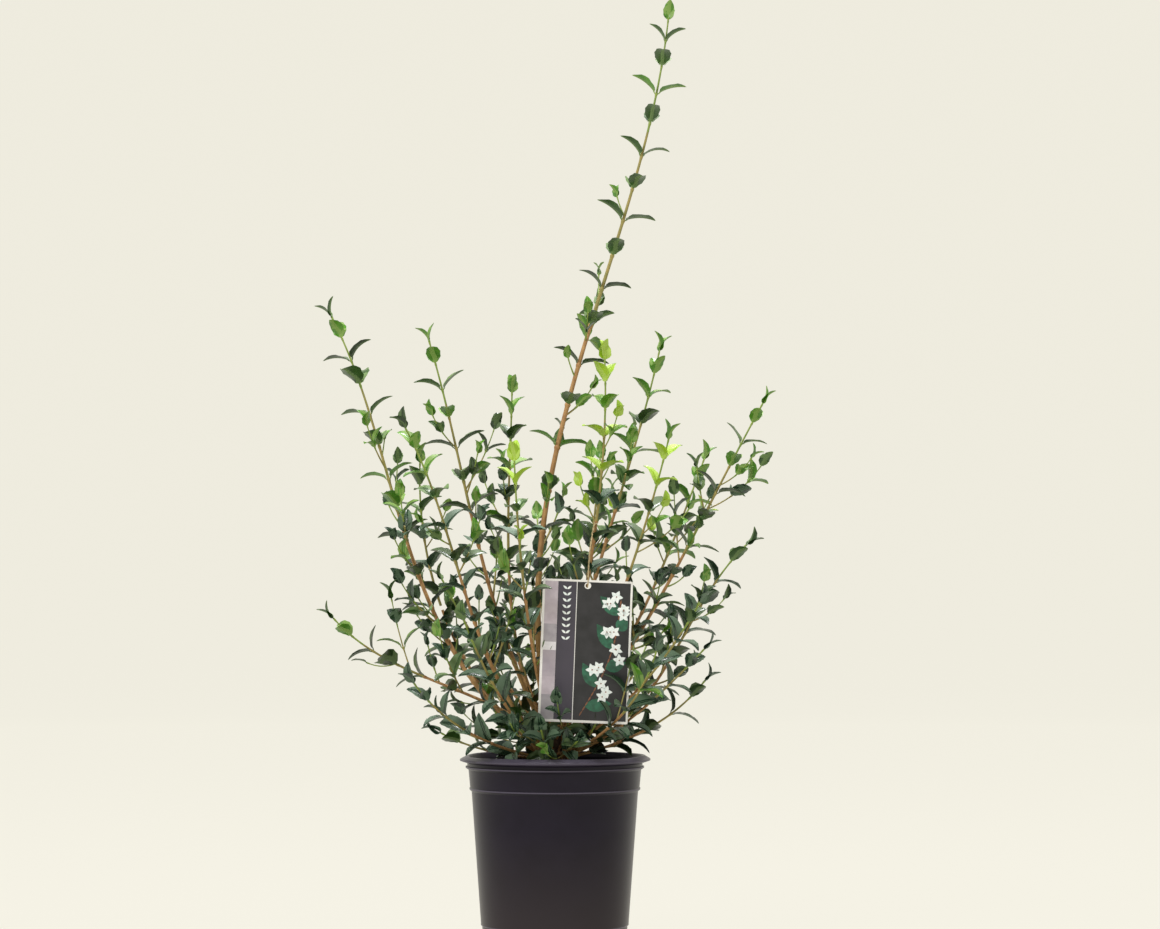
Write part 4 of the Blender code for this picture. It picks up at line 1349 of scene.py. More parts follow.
class Crown:
    """Grows the stems, twigs and leaves of the whole plant, and keeps them clear of each other."""

    def __init__(self, rule: GrowthRule, stool_radius: float) -> None:
        """Starts with nothing grown.

        Args:
            rule: How leaves and twigs are set.
            stool_radius: No leaf of a shoot without a bough stands nearer to its foot than this.
        """
        self.rule = rule
        self.stool_radius = stool_radius
        self.lines: dict[str, StemLine] = {}
        self.leaves: list[Leaf] = []
        self.stems: list[Stem] = []
        self.limbs: list[tuple[Any, Vector, float, BVHTree]] = []
        self.blades: list[tuple[Any, Vector, float, BVHTree]] = []

    def foliage_start(self, shoot: Shoot) -> float:
        """Where a shoot's foliage starts: at its bough's end, or outside the stool."""
        return shoot.bare * MM if shoot.bare else self.stool_radius

    def add_limb(self, owner: str, points: Sequence[Vector], faces: Sequence[Face]) -> None:
        """Remembers a limb, or another solid that leaves keep clear of."""
        self.limbs.append((owner, *touch_shape(points, faces)))

    def add_stem_limb(self, owner: str, stem: Stem) -> None:
        """Remembers a stem as a thin three-sided limb.

        Args:
            owner: The shoot that it belongs to.
            stem: The stem.
        """
        rings = max(1, round((stem.end - stem.start) / self.rule.limb_ring))
        shares = [ring / rings for ring in range(rings + 1)]
        centres = [stem.line.at(stem.start + (stem.end - stem.start) * share)[0] for share in shares]
        radii = [stem.radius(share) for share in shares]
        for low in range(rings):
            self.add_limb(owner, *tube(centres[low:low + 2], radii[low:low + 2], 3))

    def touches(self, owner: str, node: Any, shape: tuple[Vector, float, BVHTree]) -> bool:
        """Tells whether a shape meets a limb of another owner or a leaf of another node.

        Args:
            owner: The shoot that the shape belongs to.
            node: The leaf node that it belongs to.
            shape: Its middle, reach and tree.

        Returns:
            True if it meets something.
        """
        middle, reach, tree = shape
        for own, solids in ((owner, self.limbs), (node, self.blades)):
            for key, other_middle, other_reach, other in solids:
                near = key != own and (other_middle - middle).length < reach + other_reach
                if near and tree.overlap(other):
                    return True
        return False

    def leaf_ways(self, pair: LeafPair, side_way: Vector) -> tuple[Vector, Vector]:
        """Works out the way a leaf points and the way its upper side looks.

        Args:
            pair: The leaf's pair.
            side_way: The side of the stem that it grows on.

        Returns:
            The leaf's own way and its face's way.
        """
        open_out, close_in = sin(pair.lift), cos(pair.lift)
        along = pair.direction * close_in + side_way * open_out - UP * pair.sink
        along.z = max(along.z, self.rule.steepest_drop)
        along.normalize()
        face = pair.direction * open_out - side_way * close_in + UP * self.rule.levelling
        return along, (face - along * face.dot(along)).normalized()

    def place_leaf(self, pair: LeafPair, side_way: Vector) -> None:
        """Places a leaf at the first free one of a few turned places, or leaves it out.

        Args:
            pair: The leaf's pair.
            side_way: The side of the stem that it grows on.
        """
        rule, root, length = self.rule, pair.root, pair.length
        faces = [(0, 2, 4), (0, 4, 3), (0, 3, 2), (1, 4, 2), (1, 3, 4), (1, 2, 3)]
        for turn in rule.turns:
            way = Matrix.Rotation(radians(turn), 3, pair.direction) @ side_way
            along, face = self.leaf_ways(pair, way)
            across = along.cross(face).normalized()
            half = length * rule.envelope_half + rule.clearance
            edge = root + along * length * rule.envelope_widest + face * length * rule.envelope_rise
            below = edge - face * length * rule.envelope_depth
            tip = root + along * (length + rule.clearance)
            points = [root, tip, edge - across * half, edge + across * half, below]
            shape = touch_shape(points, faces)
            low = min(point.z for point in points) < rule.lowest_leaf
            if low or self.touches(pair.owner, pair.node(), shape):
                continue
            self.blades.append((pair.node(), *shape))
            self.leaves.append(Leaf(root, along, face, length, pair.tone))
            return

    def pairs_along(
        self, shoot: Shoot, line: StemLine, start: float, internode: float, phase: float, draw: Random,
        size: float = 1.0,
    ) -> tuple[float, ...]:
        """Sets pairs of opposite leaves down a line from its tip, each pair crossing the one above.

        Args:
            shoot: The shoot that they belong to.
            line: The stem's line.
            start: No pair stands nearer to the foot than this.
            internode: The full distance between pairs.
            phase: The turn of the first pair, in degrees.
            draw: The seeded source of chance.
            size: The leaves' size as a share of the full one.

        Returns:
            The distances of the nodes along the line.
        """
        rule = self.rule
        distance = line.length - rule.tip_bud
        nodes: list[float] = []
        while distance > start:
            index = len(nodes)
            point, direction = line.at(distance)
            growth = min(1.0, index / rule.pairs_to_full_size)
            length = rule.leaf_length * size * (rule.young_share + (1 - rule.young_share) * growth)
            length *= draw.uniform(*rule.length_spread)
            opening = min(1.0, index / rule.pairs_to_full_lift)
            lift = rule.tip_lift + (rule.full_lift - rule.tip_lift) * opening
            lift += draw.uniform(*rule.lift_spread)
            angle = radians(phase + 90 * index + draw.uniform(*rule.turn_spread))
            tone = rule.tones.deal(shoot, index, point.z, draw)
            sink = rule.sink * growth
            pair = LeafPair(shoot.name, point, direction, length, radians(lift), sink, tone)
            for side in (0.0, pi):
                self.place_leaf(pair, line.side_way(distance, angle + side))
            nodes.append(distance)
            step = rule.young_internode + (internode - rule.young_internode) * growth
            step += rule.internode_growth * (line.length - distance)
            distance -= step * draw.uniform(*rule.internode_spread)
        return tuple(nodes)

    def grow_twig(
        self, shoot: Shoot, line: StemLine, distance: float, angle: float, length: float, kind: TwigRule,
        draw: Random,
    ) -> None:
        """Grows one leafy side twig, at the first free one of a few turned places.

        Args:
            shoot: The shoot that it grows on.
            line: The shoot's line.
            distance: Where along the line it leaves.
            angle: Its turn round the stem, in radians.
            length: Its length.
            kind: The kind of twig.
            draw: The seeded source of chance.
        """
        point, direction = line.at(distance)
        spread = radians(kind.angle_deg)
        stout = (kind.least_radius_mm + length / MM * kind.thickening) * MM
        radius = min(kind.radius_share * shoot.radius(distance), stout)
        for turn in kind.turns:
            side_way = line.side_way(distance, angle + radians(turn))
            twig = kind.line(point, direction * cos(spread) + side_way * sin(spread), length)
            bends = [twig.points[0], twig.points[len(twig.points) // 2], twig.points[-1]]
            rings = tube(bends, [radius] * 3, 3)
            low = twig.points[-1].z < self.rule.lowest_leaf
            if low or self.touches(shoot.name, None, touch_shape(*rings)):
                continue
            stem = Stem(twig, 0.0, twig.length, (radius, kind.tip_radius), ripeness=length / kind.ripe_length)
            self.add_stem_limb(shoot.name, stem)
            phase = draw.choice((0, 90))
            first, internode, size = kind.first_pair, kind.internode, kind.leaf_size
            nodes = self.pairs_along(shoot, twig, first, internode, phase, draw, size)
            self.stems.append(replace(stem, nodes=nodes))
            return

    def grow_stems(self, shoots: Sequence[Shoot]) -> None:
        """Grows the main stems, and then the leaves on them.

        Args:
            shoots: The plant's shoots.
        """
        stems = {}
        for shoot in shoots:
            line, bare = self.lines[shoot.name], shoot.bare * MM
            stem = Stem(line, bare, line.length - MM, (shoot.radius(bare), STEM_TIP_RADIUS))
            stems[shoot.name] = stem
            self.add_stem_limb(shoot.name, stem)
            if shoot.bare:
                self.add_stem_limb(shoot.name, Stem(line, 0.0, bare, (shoot.radius(0.0), shoot.radius(bare))))
        for shoot in shoots:
            draw = Random(shoot.name)
            first = self.foliage_start(shoot) + self.rule.first_pair / 2
            line, internode = self.lines[shoot.name], self.rule.full_internode
            nodes = self.pairs_along(shoot, line, first, internode, shoot.phase, draw)
            self.stems.append(replace(stems[shoot.name], nodes=nodes))

    def grow_side_twigs(self, shoot: Shoot) -> None:
        """Grows a shoot's few long side twigs.

        Args:
            shoot: The shoot.
        """
        rule, draw = self.rule, Random(shoot.name + " twigs")
        line, start = self.lines[shoot.name], self.foliage_start(shoot)
        span = (line.length - start) * rule.side_twig_span
        for index in range(shoot.twigs):
            place = index + draw.uniform(*rule.side_twig_spread)
            distance = start + rule.first_pair + span * place / shoot.twigs
            angle = radians(GOLDEN_ANGLE * index + draw.uniform(0, 360))
            length = draw.uniform(*rule.side_twig.lengths_mm) * MM
            self.grow_twig(shoot, line, distance, angle, length, rule.side_twig, draw)

    def grow_fine_twigs(self, shoot: Shoot) -> None:
        """Grows a long shoot's many short fine twigs.

        Args:
            shoot: The shoot.
        """
        rule, draw, line = self.rule, Random(shoot.name + " fine twigs"), self.lines[shoot.name]
        start = rule.bare_share * shoot.bare * MM
        distance = start + draw.uniform(*rule.fine_twig_start) * rule.fine_twig_spacing
        while distance < start + (line.length - start) * rule.fine_twig_span:
            angle = draw.uniform(0, tau)
            length = draw.uniform(*rule.fine_twig.lengths_mm) * MM
            self.grow_twig(shoot, line, distance, angle, length, rule.fine_twig, draw)
            distance += draw.uniform(*rule.fine_twig_spread) * rule.fine_twig_spacing

    def grow(self, shoots: Sequence[Shoot]) -> None:
        """Grows every shoot: first the leaves on the main stems, then the side twigs and the fine twigs.

        Args:
            shoots: The plant's shoots.
        """
        self.lines = {shoot.name: shoot.line() for shoot in shoots}
        self.grow_stems(shoots)
        for shoot in shoots:
            self.grow_side_twigs(shoot)
        for shoot in shoots:
            if shoot.bare:
                self.grow_fine_twigs(shoot)


@dataclass
class Foliage:
    """The leaves of the whole crown, joined by tone."""

    crown: Crown
    form: LeafForm
    width_share: float = 0.5
    width_spread: Spread = (0.9, 1.12)
    bend_deg: Spread = (38, 74)
    fold: Spread = (0.22, 0.5)
    wave: Spread = (0.03, 0.12)

    def build(self, nodes: Sequence[str]) -> None:
        """Makes one joined piece for each tone.

        Args:
            nodes: The foliage nodes that the leaves replace.
        """
        faces, slots = self.form.faces()
        draw = Random("leaf forms")
        for tone in Tone:
            joined = JoinedMesh()
            for leaf in (leaf for leaf in self.crown.leaves if leaf.tone is tone):
                width = leaf.length * self.width_share * draw.uniform(*self.width_spread)
                bend = radians(draw.uniform(*self.bend_deg))
                fold, wave = draw.uniform(*self.fold), draw.uniform(*self.wave)
                points = self.form.points(leaf.length, width, bend, fold, wave)
                basis = np.array([leaf.along, leaf.face.cross(leaf.along), leaf.face])
                joined.add(points @ basis + np.array(leaf.root), faces, slots)
            name = f"leaves_{tone.value}"
            dress(joined.build(name), name, LEAF_COLOURS[tone].finishes(tone), nodes, 50.0)


@dataclass
class Twigs:
    """The leafy stems and twigs, joined by ripeness, with a swelling at each node."""

    crown: Crown
    sides: int = 7
    spacing: float = 5 * MM
    swelling: float = 0.38
    swelling_length: float = 1.7 * MM
    swelling_places: tuple[float, ...] = (-1.6, -0.8, 0.0, 0.8, 1.6)
    tip_taper: float = 0.8
    least_ripeness: float = 0.15
    shortest: float = 1 * MM
    ripeness_steps: tuple[tuple[float, str, Finish], ...] = (
        (0.16, "soft_shoots", GREEN_SHOOT),
        (0.42, "ripening_shoots", OLIVE_SHOOT),
        (0.75, "brown_shoots", BROWN_BARK),
        (9.0, "tan_shoots", TAN_BARK),
    )

    def stretch(self, stem: Stem, low: float, high: float) -> Shape:
        """Makes the tube of one stretch of a stem.

        Args:
            stem: The stem.
            low: The stretch's start.
            high: Its end.

        Returns:
            The points and the faces.
        """
        count = max(1, round((high - low) / self.spacing))
        places = {low + (high - low) * index / count for index in range(count + 1)}
        for node in stem.nodes:
            places |= {node + offset * self.swelling_length for offset in self.swelling_places}
        centres, radii = [], []
        for place in sorted(place for place in places if low <= place <= high):
            swell = swelling(place, stem.nodes, self.swelling_length)
            radius = stem.radius((place - stem.start) / (stem.end - stem.start))
            radii.append(radius * (1 + self.swelling * swell))
            centres.append(stem.line.at(place)[0])
        radii[-1] *= self.tip_taper if high >= stem.end else 1.0
        return tube(centres, radii, self.sides)

    def build(self, nodes: Sequence[str]) -> None:
        """Makes one joined piece for each step of ripeness.

        Args:
            nodes: The foliage nodes that the twigs replace.
        """
        pieces = [JoinedMesh() for _ in self.ripeness_steps]
        for stem in self.crown.stems:
            length = stem.line.length / max(stem.ripeness, self.least_ripeness)
            edges = [stem.end]
            edges += [stem.line.length - limit * length for limit, _, _ in self.ripeness_steps]
            for index, piece in enumerate(pieces):
                high, low = min(stem.end, edges[index]), max(stem.start, edges[index + 1])
                if high - low > self.shortest:
                    piece.add(*self.stretch(stem, low, high))
        for piece, (_, name, finish) in zip(pieces, self.ripeness_steps):
            dress(piece.build(name), name, [finish], nodes)


@dataclass
class Stool:
    """The short woody foot of the plant, with its flare, its lobes and its bark."""

    radius: float = 12 * MM
    top_radius: float = 10.5 * MM
    height: float = 42 * MM
    flare: float = 6 * MM
    sides: int = 48
    levels: int = 16
    lobes: int = 4
    lobe_depth: float = 0.16
    lobe_phase: float = 0.6
    lean: float = 1 * MM
    ridge_depth: float = 0.045
    ridges_across: float = 400
    ridges_up: float = 90
    top_insets: tuple[tuple[float, float], ...] = ((2 * MM, 1 * MM), (3 * MM, 0.6 * MM))

    def build(self) -> None:
        """Extrudes the stool upwards ring by ring and gives it ridged bark."""
        foot = SOIL_TOP + SEAT_GAP
        outline = [(self.radius + self.flare, foot)]
        for level in range(1, self.levels + 1):
            share = level / self.levels
            radius = self.radius + (self.top_radius - self.radius) * share + self.flare * (1 - share) ** 4
            outline.append((radius, foot + self.height * share ** 1.5))
        stool = stack_rings(outline, self.sides, self.top_insets, -self.lean / self.levels)
        for vertex in stool.data.vertices:
            share = max(0.0, min(1.0, (vertex.co.z - foot) / self.height))
            angle = atan2(vertex.co.y, vertex.co.x)
            lobe = self.lobe_depth * (1 - share) ** 3 * cos(self.lobes * angle + self.lobe_phase)
            ridge = bark_ridge(vertex.co, self.ridges_across, self.ridges_up)
            factor = 1 + lobe + self.ridge_depth * ridge
            vertex.co.x *= factor
            vertex.co.y *= factor
        dress(stool, "stool_bark", [OLD_BARK], ["trunk"], 45.0)


@dataclass
class Bough:
    """The bare lower part of a long shoot, with ridged bark, scars and swollen nodes."""

    shoot: Shoot
    line: StemLine
    ring: float = 1.6 * MM
    scar_spacing: float = 27 * MM
    first_scar: Spread = (0.2, 0.8)
    scar_spread: Spread = (0.85, 1.15)
    swelling: float = 0.22
    swelling_length: float = 2.2 * MM
    ridges_across: float = 700
    ridges_up: float = 160
    ridge_mm: float = 0.16
    warts: float = 900
    wart_least: float = 0.45
    wart_mm: float = 0.7

    def scars(self) -> list[float]:
        """Sets the scars of old leaf pairs, from the foliage down.

        Returns:
            Their distances along the shoot.
        """
        draw = Random(self.shoot.name + " bark")
        scars = []
        place = self.shoot.bare * MM - draw.uniform(*self.first_scar) * self.scar_spacing
        while place > 0:
            scars.append(place)
            place -= self.scar_spacing * draw.uniform(*self.scar_spread)
        return scars

    def make_limb(self) -> Object:
        """Makes a bevelled curve along the line, swollen at the scars, and turns it to a mesh.

        Returns:
            The closed limb.
        """
        length, scars = self.shoot.bare * MM, self.scars()
        count = round(length / self.ring)
        curve = bpy.data.curves.new("bough", "CURVE")
        curve.dimensions = "3D"
        curve.bevel_depth = 1.0
        curve.bevel_resolution = 4
        curve.use_fill_caps = True
        spline = curve.splines.new("POLY")
        spline.points.add(count)
        for index, point in enumerate(spline.points):
            distance = length * index / count
            swell = swelling(distance, scars, self.swelling_length)
            point.co = (*self.line.at(distance)[0], 1.0)
            point.radius = self.shoot.radius(distance) * (1 + self.swelling * swell)
        make_active(add_object("bough", curve))
        bpy.ops.object.convert(target="MESH")
        limb = bpy.context.object
        edit_all(limb)
        leave_edit(merge=True)
        return limb

    def build(self) -> None:
        """Makes the limb and roughens its bark with ridges along it and a few warts."""
        limb = self.make_limb()
        normals = [vertex.normal.copy() for vertex in limb.data.vertices]
        for vertex, normal in zip(limb.data.vertices, normals):
            ridge = bark_ridge(vertex.co, self.ridges_across, self.ridges_up)
            wart = max(0.0, noise.noise(vertex.co * self.warts) - self.wart_least)
            vertex.co += normal * (self.ridge_mm * ridge + self.wart_mm * wart) * MM
        dress(limb, f"bark_{self.shoot.name}", [TAN_BARK], [f"bough_{self.shoot.name}"])


@dataclass
class PictureLabel:
    """The hanging label: a white card with a strip of blocks, a plain band and a picture of a spray.

    Its own space has its origin in the middle of the hole, X across the card and Z up it. A layer is counted
    in films of ink above the card.
    """

    width: float = 88 * MM
    height: float = 140 * MM
    thickness: float = 0.6 * MM
    corner: float = 1.5 * MM
    hole_radius: float = 2.2 * MM
    hole_sides: int = 40
    hole_drop: float = 5.5 * MM
    hole_border: float = 1.1 * MM
    hole_depth: float = 4.8 * MM
    hole_at: Triple = (32.7 * MM, -64 * MM, 359 * MM)
    turn_deg: float = 2.2
    tilt_deg: float = 4.0
    ink: float = 0.05 * MM
    side_border: float = 2.4 * MM
    edge_border: float = 2.0 * MM
    foot_border: float = 0.5 * MM
    strip_width: float = 12.6 * MM
    strip_cuts: tuple[float, ...] = (0.0, 0.31, 0.44, 0.50, 0.69, 0.82, 1.0)
    strip_inks: tuple[int, ...] = (0, 3, 2, 1, 0, 3)
    strip_line: float = 0.1 * MM
    band_width: float = 18.2 * MM
    line_width: float = 0.7 * MM
    blade_swell: float = 0.85
    blade_fullness: float = 0.9
    # The layer and the points on each side of what is printed
    stalk_print: tuple[float, int] = (2, 4)
    leaf_print: tuple[float, int] = (3, 7)
    garland_print: tuple[float, int] = (2, 5)
    petal_layer: float = 4
    petal_layer_step: float = 0.2
    petal_points: int = 6
    eye_layer: float = 7
    stalk_from_mm: tuple[float, float] = (-4, -128)
    stalk_to_mm: tuple[float, float] = (33, -14)
    stalk_bow_mm: float = 9
    stalk_width: float = 1.5 * MM
    stalk_overlap: float = 0.3
    stalk_steps: int = 25
    leaf_places: tuple[int, ...] = (2, 6, 10, 14, 18, 21)
    leaf_angles: Spread = (44, 60)
    leaf_lengths_mm: Spread = (24, 30)
    leaf_width: float = 13 * MM
    leaf_limits: Spread = (-7 * MM, 40 * MM)
    blossoms: tuple[tuple[int, int], ...] = ((5, -1), (9, 1), (12, -1), (16, 1), (20, -1), (23, 1))
    blossoms_each: int = 3
    blossom_angles: Spread = (10, 100)
    blossom_reach_mm: Spread = (6, 13)
    blossom_limits: Spread = (-1 * MM, 36 * MM)
    blossom_top: float = -10 * MM
    petals: int = 5
    petal_foot_mm: float = 1.2
    petal_tip_mm: float = 6.6
    petal_width: float = 4.2 * MM
    eye_radius: float = 0.7 * MM
    eye_sides: int = 8
    garland_pairs: int = 9
    garland_top_mm: float = -4
    garland_step_mm: float = 6.2
    garland_leaf_mm: tuple[float, float] = (4.2, 3.4)
    garland_leaf_width: float = 2.2 * MM

    def place(self) -> Matrix:
        """The label's place and turn, with its hole at its own origin.

        Returns:
            The matrix from the label's own space.
        """
        turn = Matrix.Rotation(radians(self.turn_deg), 4, "Y")
        tilt = Matrix.Rotation(radians(self.tilt_deg), 4, "X")
        return Matrix.Translation(self.hole_at) @ (turn @ tilt)

    def finish_piece(self, piece: Object, name: str, finish: Finish, nodes: Sequence[str] = ()) -> None:
        """Moves a flat piece from the label's own space to the label's place and dresses it."""
        piece.data.transform(self.place())
        dress(piece, name, [finish], nodes, 30.0)

    def block(self, across: Spread, down: Spread, depth: float, front: float) -> Object:
        """Makes a thin upright block.

        Args:
            across: Its left and right sides' distances from the card's left edge.
            down: Its top's and bottom's distances from the card's top edge.
            depth: Its thickness.
            front: How far its front stands before the card's middle.

        Returns:
            The block, in the label's own space.
        """
        deselect_all()
        middle_x = (across[0] + across[1]) / 2 - self.width / 2
        middle = (middle_x, depth / 2 - front, self.hole_drop - (down[0] + down[1]) / 2)
        size = (across[1] - across[0], depth, down[1] - down[0])
        bpy.ops.mesh.primitive_cube_add(size=1.0, location=middle, scale=size)
        block = bpy.context.object
        bpy.ops.object.transform_apply(location=True, rotation=True, scale=True)
        return block

    def cut_hole(self, block: Object, radius: float) -> None:
        """Cuts the label's round hole through a block."""
        lying = (pi / 2, 0.0, 0.0)
        drill(block, vertices=self.hole_sides, radius=radius, depth=self.hole_depth, rotation=lying)

    def build_card(self) -> None:
        """Makes the white card with round corners and its hole."""
        card = self.block((0.0, self.width), (0.0, self.height), self.thickness, self.thickness / 2)
        edit_all(card, "EDGE")
        bpy.ops.mesh.select_all(action="DESELECT")
        bpy.ops.object.mode_set(mode="OBJECT")
        for edge in card.data.edges:
            low, high = (card.data.vertices[corner].co for corner in edge.vertices)
            edge.select = abs(low.y - high.y) > self.thickness / 2
        bpy.ops.object.mode_set(mode="EDIT")
        bpy.ops.mesh.bevel(offset=self.corner, segments=5, affect="EDGES")
        bpy.ops.object.mode_set(mode="OBJECT")
        self.cut_hole(card, self.hole_radius)
        self.finish_piece(card, "label_board", WHITE_CARD, ["label_card"])

    def build_fields(self) -> None:
        """Makes the printed fields: the strip's blocks, the band and the picture's dark ground."""
        front = self.thickness / 2 + self.ink
        left, right = self.side_border, self.side_border + self.strip_width
        top, bottom = self.edge_border, self.height - self.edge_border - self.foot_border
        for index, (low, high) in enumerate(zip(self.strip_cuts, self.strip_cuts[1:])):
            down = (top + (bottom - top) * low, top + (bottom - top) * high)
            block = self.block((left, right), down, self.ink, front)
            self.finish_piece(block, f"label_strip_{index}", GREY_INKS[self.strip_inks[index]])
        left, right = right + self.strip_line, right + self.band_width
        band = self.block((left, right), (top, bottom), self.ink, front)
        self.finish_piece(band, "label_band", CHARCOAL_INK)
        left, right = right + self.line_width, self.width - self.edge_border
        ground = self.block((left, right), (top, bottom), self.ink, front)
        self.cut_hole(ground, self.hole_radius + self.hole_border)
        self.finish_piece(ground, "label_ground", NIGHT_INK)

    def flat_shape(self, outline: Outline, layer: float) -> Shape:
        """Makes a thin printed shape from an outline in the card's plane.

        Args:
            outline: Points of X and Z, in order.
            layer: How many inks lie under it.

        Returns:
            The points and the faces.
        """
        back = -self.thickness / 2 - (0.5 + layer) * self.ink
        front = back - self.ink
        count = len(outline)
        points = [(x, back, z) for x, z in outline] + [(x, front, z) for x, z in outline]
        faces: list[Face] = [tuple(range(count)), tuple(range(count, 2 * count))[::-1]]
        for index in range(count):
            after = (index + 1) % count
            faces.append((index, index + count, after + count, after))
        return np.array(points), faces

    def blade(self, foot: Vector, tip: Vector, width: float, layer: float, steps: int) -> Shape:
        """Makes a printed pointed leaf or petal.

        Args:
            foot: Where it starts, as X and Z.
            tip: Where it ends.
            width: Its greatest width.
            layer: How many inks lie under it.
            steps: Points on each side.

        Returns:
            The points and the faces.
        """
        along = tip - foot
        across = Vector((-along.y, along.x)).normalized() * width / 2
        outline = []
        for side, ends in ((1, (0, 1)), (-1, (1, 0))):
            shares = np.linspace(*ends, steps)
            for share in (shares if side == 1 else shares[1:-1]):
                bulge = sin(pi * share ** self.blade_swell) ** self.blade_fullness
                point = foot + along * share + across * bulge * side
                outline.append((point.x, point.y))
        return self.flat_shape(outline, layer)

    def side_point(
        self, path: Sequence[Vector], place: int, side: int, angles: Spread, reach_mm: Spread,
        draw: Random,
    ) -> Vector:
        """Draws a point beside the stalk.

        Args:
            path: The stalk's points.
            place: The number of the point to start from.
            side: 1 for the left, -1 for the right.
            angles: The angles from the stalk, in degrees.
            reach_mm: The distances.
            draw: The seeded source of chance.

        Returns:
            The point.
        """
        ahead = (path[place + 1] - path[place]).normalized()
        way = Matrix.Rotation(side * radians(draw.uniform(*angles)), 2) @ ahead
        return path[place] + way * draw.uniform(*reach_mm) * MM

    def build_picture(self) -> None:
        """Prints a generic spray: an arched stalk with alternate leaves and small five-petalled blossoms."""
        stalks, leaves, petals, eyes = (JoinedMesh() for _ in range(4))
        draw = Random("label picture")
        low, high = Vector(self.stalk_from_mm) * MM, Vector(self.stalk_to_mm) * MM
        bow = Vector((1, 0)) * self.stalk_bow_mm * MM
        shares = np.linspace(0, 1, self.stalk_steps)
        path = [low.lerp(high, share) + bow * sin(pi * share) for share in shares]
        for start, end in zip(path, path[1:]):
            stretched = end + (end - start) * self.stalk_overlap
            stalks.add(*self.blade(start, stretched, self.stalk_width, *self.stalk_print))
        for index, place in enumerate(self.leaf_places):
            side = 1 if index % 2 else -1
            tip = self.side_point(path, place, side, self.leaf_angles, self.leaf_lengths_mm, draw)
            tip.x = min(max(tip.x, self.leaf_limits[0]), self.leaf_limits[1])
            leaves.add(*self.blade(path[place], tip, self.leaf_width, *self.leaf_print))
        for place, side in self.blossoms:
            for _ in range(self.blossoms_each):
                middle = self.side_point(path, place, side, self.blossom_angles, self.blossom_reach_mm, draw)
                middle.x = min(max(middle.x, self.blossom_limits[0]), self.blossom_limits[1])
                middle.y = min(middle.y, self.blossom_top)
                self.add_blossom(petals, eyes, middle, draw.uniform(0, tau))
        for joined, name, finish in (
            (stalks, "label_stalks", STALK_INK),
            (leaves, "label_leaves", LEAF_INK),
            (petals, "label_petals", PETAL_INK),
            (eyes, "label_eyes", STALK_INK),
        ):
            self.finish_piece(joined.build(name), name, finish)

    def add_blossom(self, petals: JoinedMesh, eyes: JoinedMesh, middle: Vector, turn: float) -> None:
        """Prints one blossom.

        Args:
            petals: The mesh of all petals.
            eyes: The mesh of all eyes.
            middle: The blossom's middle, as X and Z.
            turn: Its turn, in radians.
        """
        for petal in range(self.petals):
            angle = turn + tau * petal / self.petals
            way = Vector((cos(angle), sin(angle)))
            foot, tip = middle - way * self.petal_foot_mm * MM, middle + way * self.petal_tip_mm * MM
            layer = self.petal_layer + self.petal_layer_step * petal
            petals.add(*self.blade(foot, tip, self.petal_width, layer, self.petal_points))
        ring = [tau * corner / self.eye_sides for corner in range(self.eye_sides)]
        reach = self.eye_radius
        eye = [(middle.x + reach * cos(angle), middle.y + reach * sin(angle)) for angle in ring]
        eyes.add(*self.flat_shape(eye, self.eye_layer))

    def build_garland(self) -> None:
        """Prints a plain row of small white leaf pairs up the band."""
        joined = JoinedMesh()
        middle_x = -self.width / 2 + self.side_border + self.strip_width + self.band_width / 2
        out, up = self.garland_leaf_mm
        for index in range(self.garland_pairs):
            foot = Vector((middle_x, (self.garland_top_mm - self.garland_step_mm * index) * MM))
            for side in (-1, 1):
                tip = foot + Vector((side * out, up)) * MM
                joined.add(*self.blade(foot, tip, self.garland_leaf_width, *self.garland_print))
        self.finish_piece(joined.build("label_garland"), "label_garland", PETAL_INK)

    def build(self) -> None:
        """Makes the card and everything printed on it."""
        self.build_card()
        self.build_fields()
        self.build_picture()
        self.build_garland()


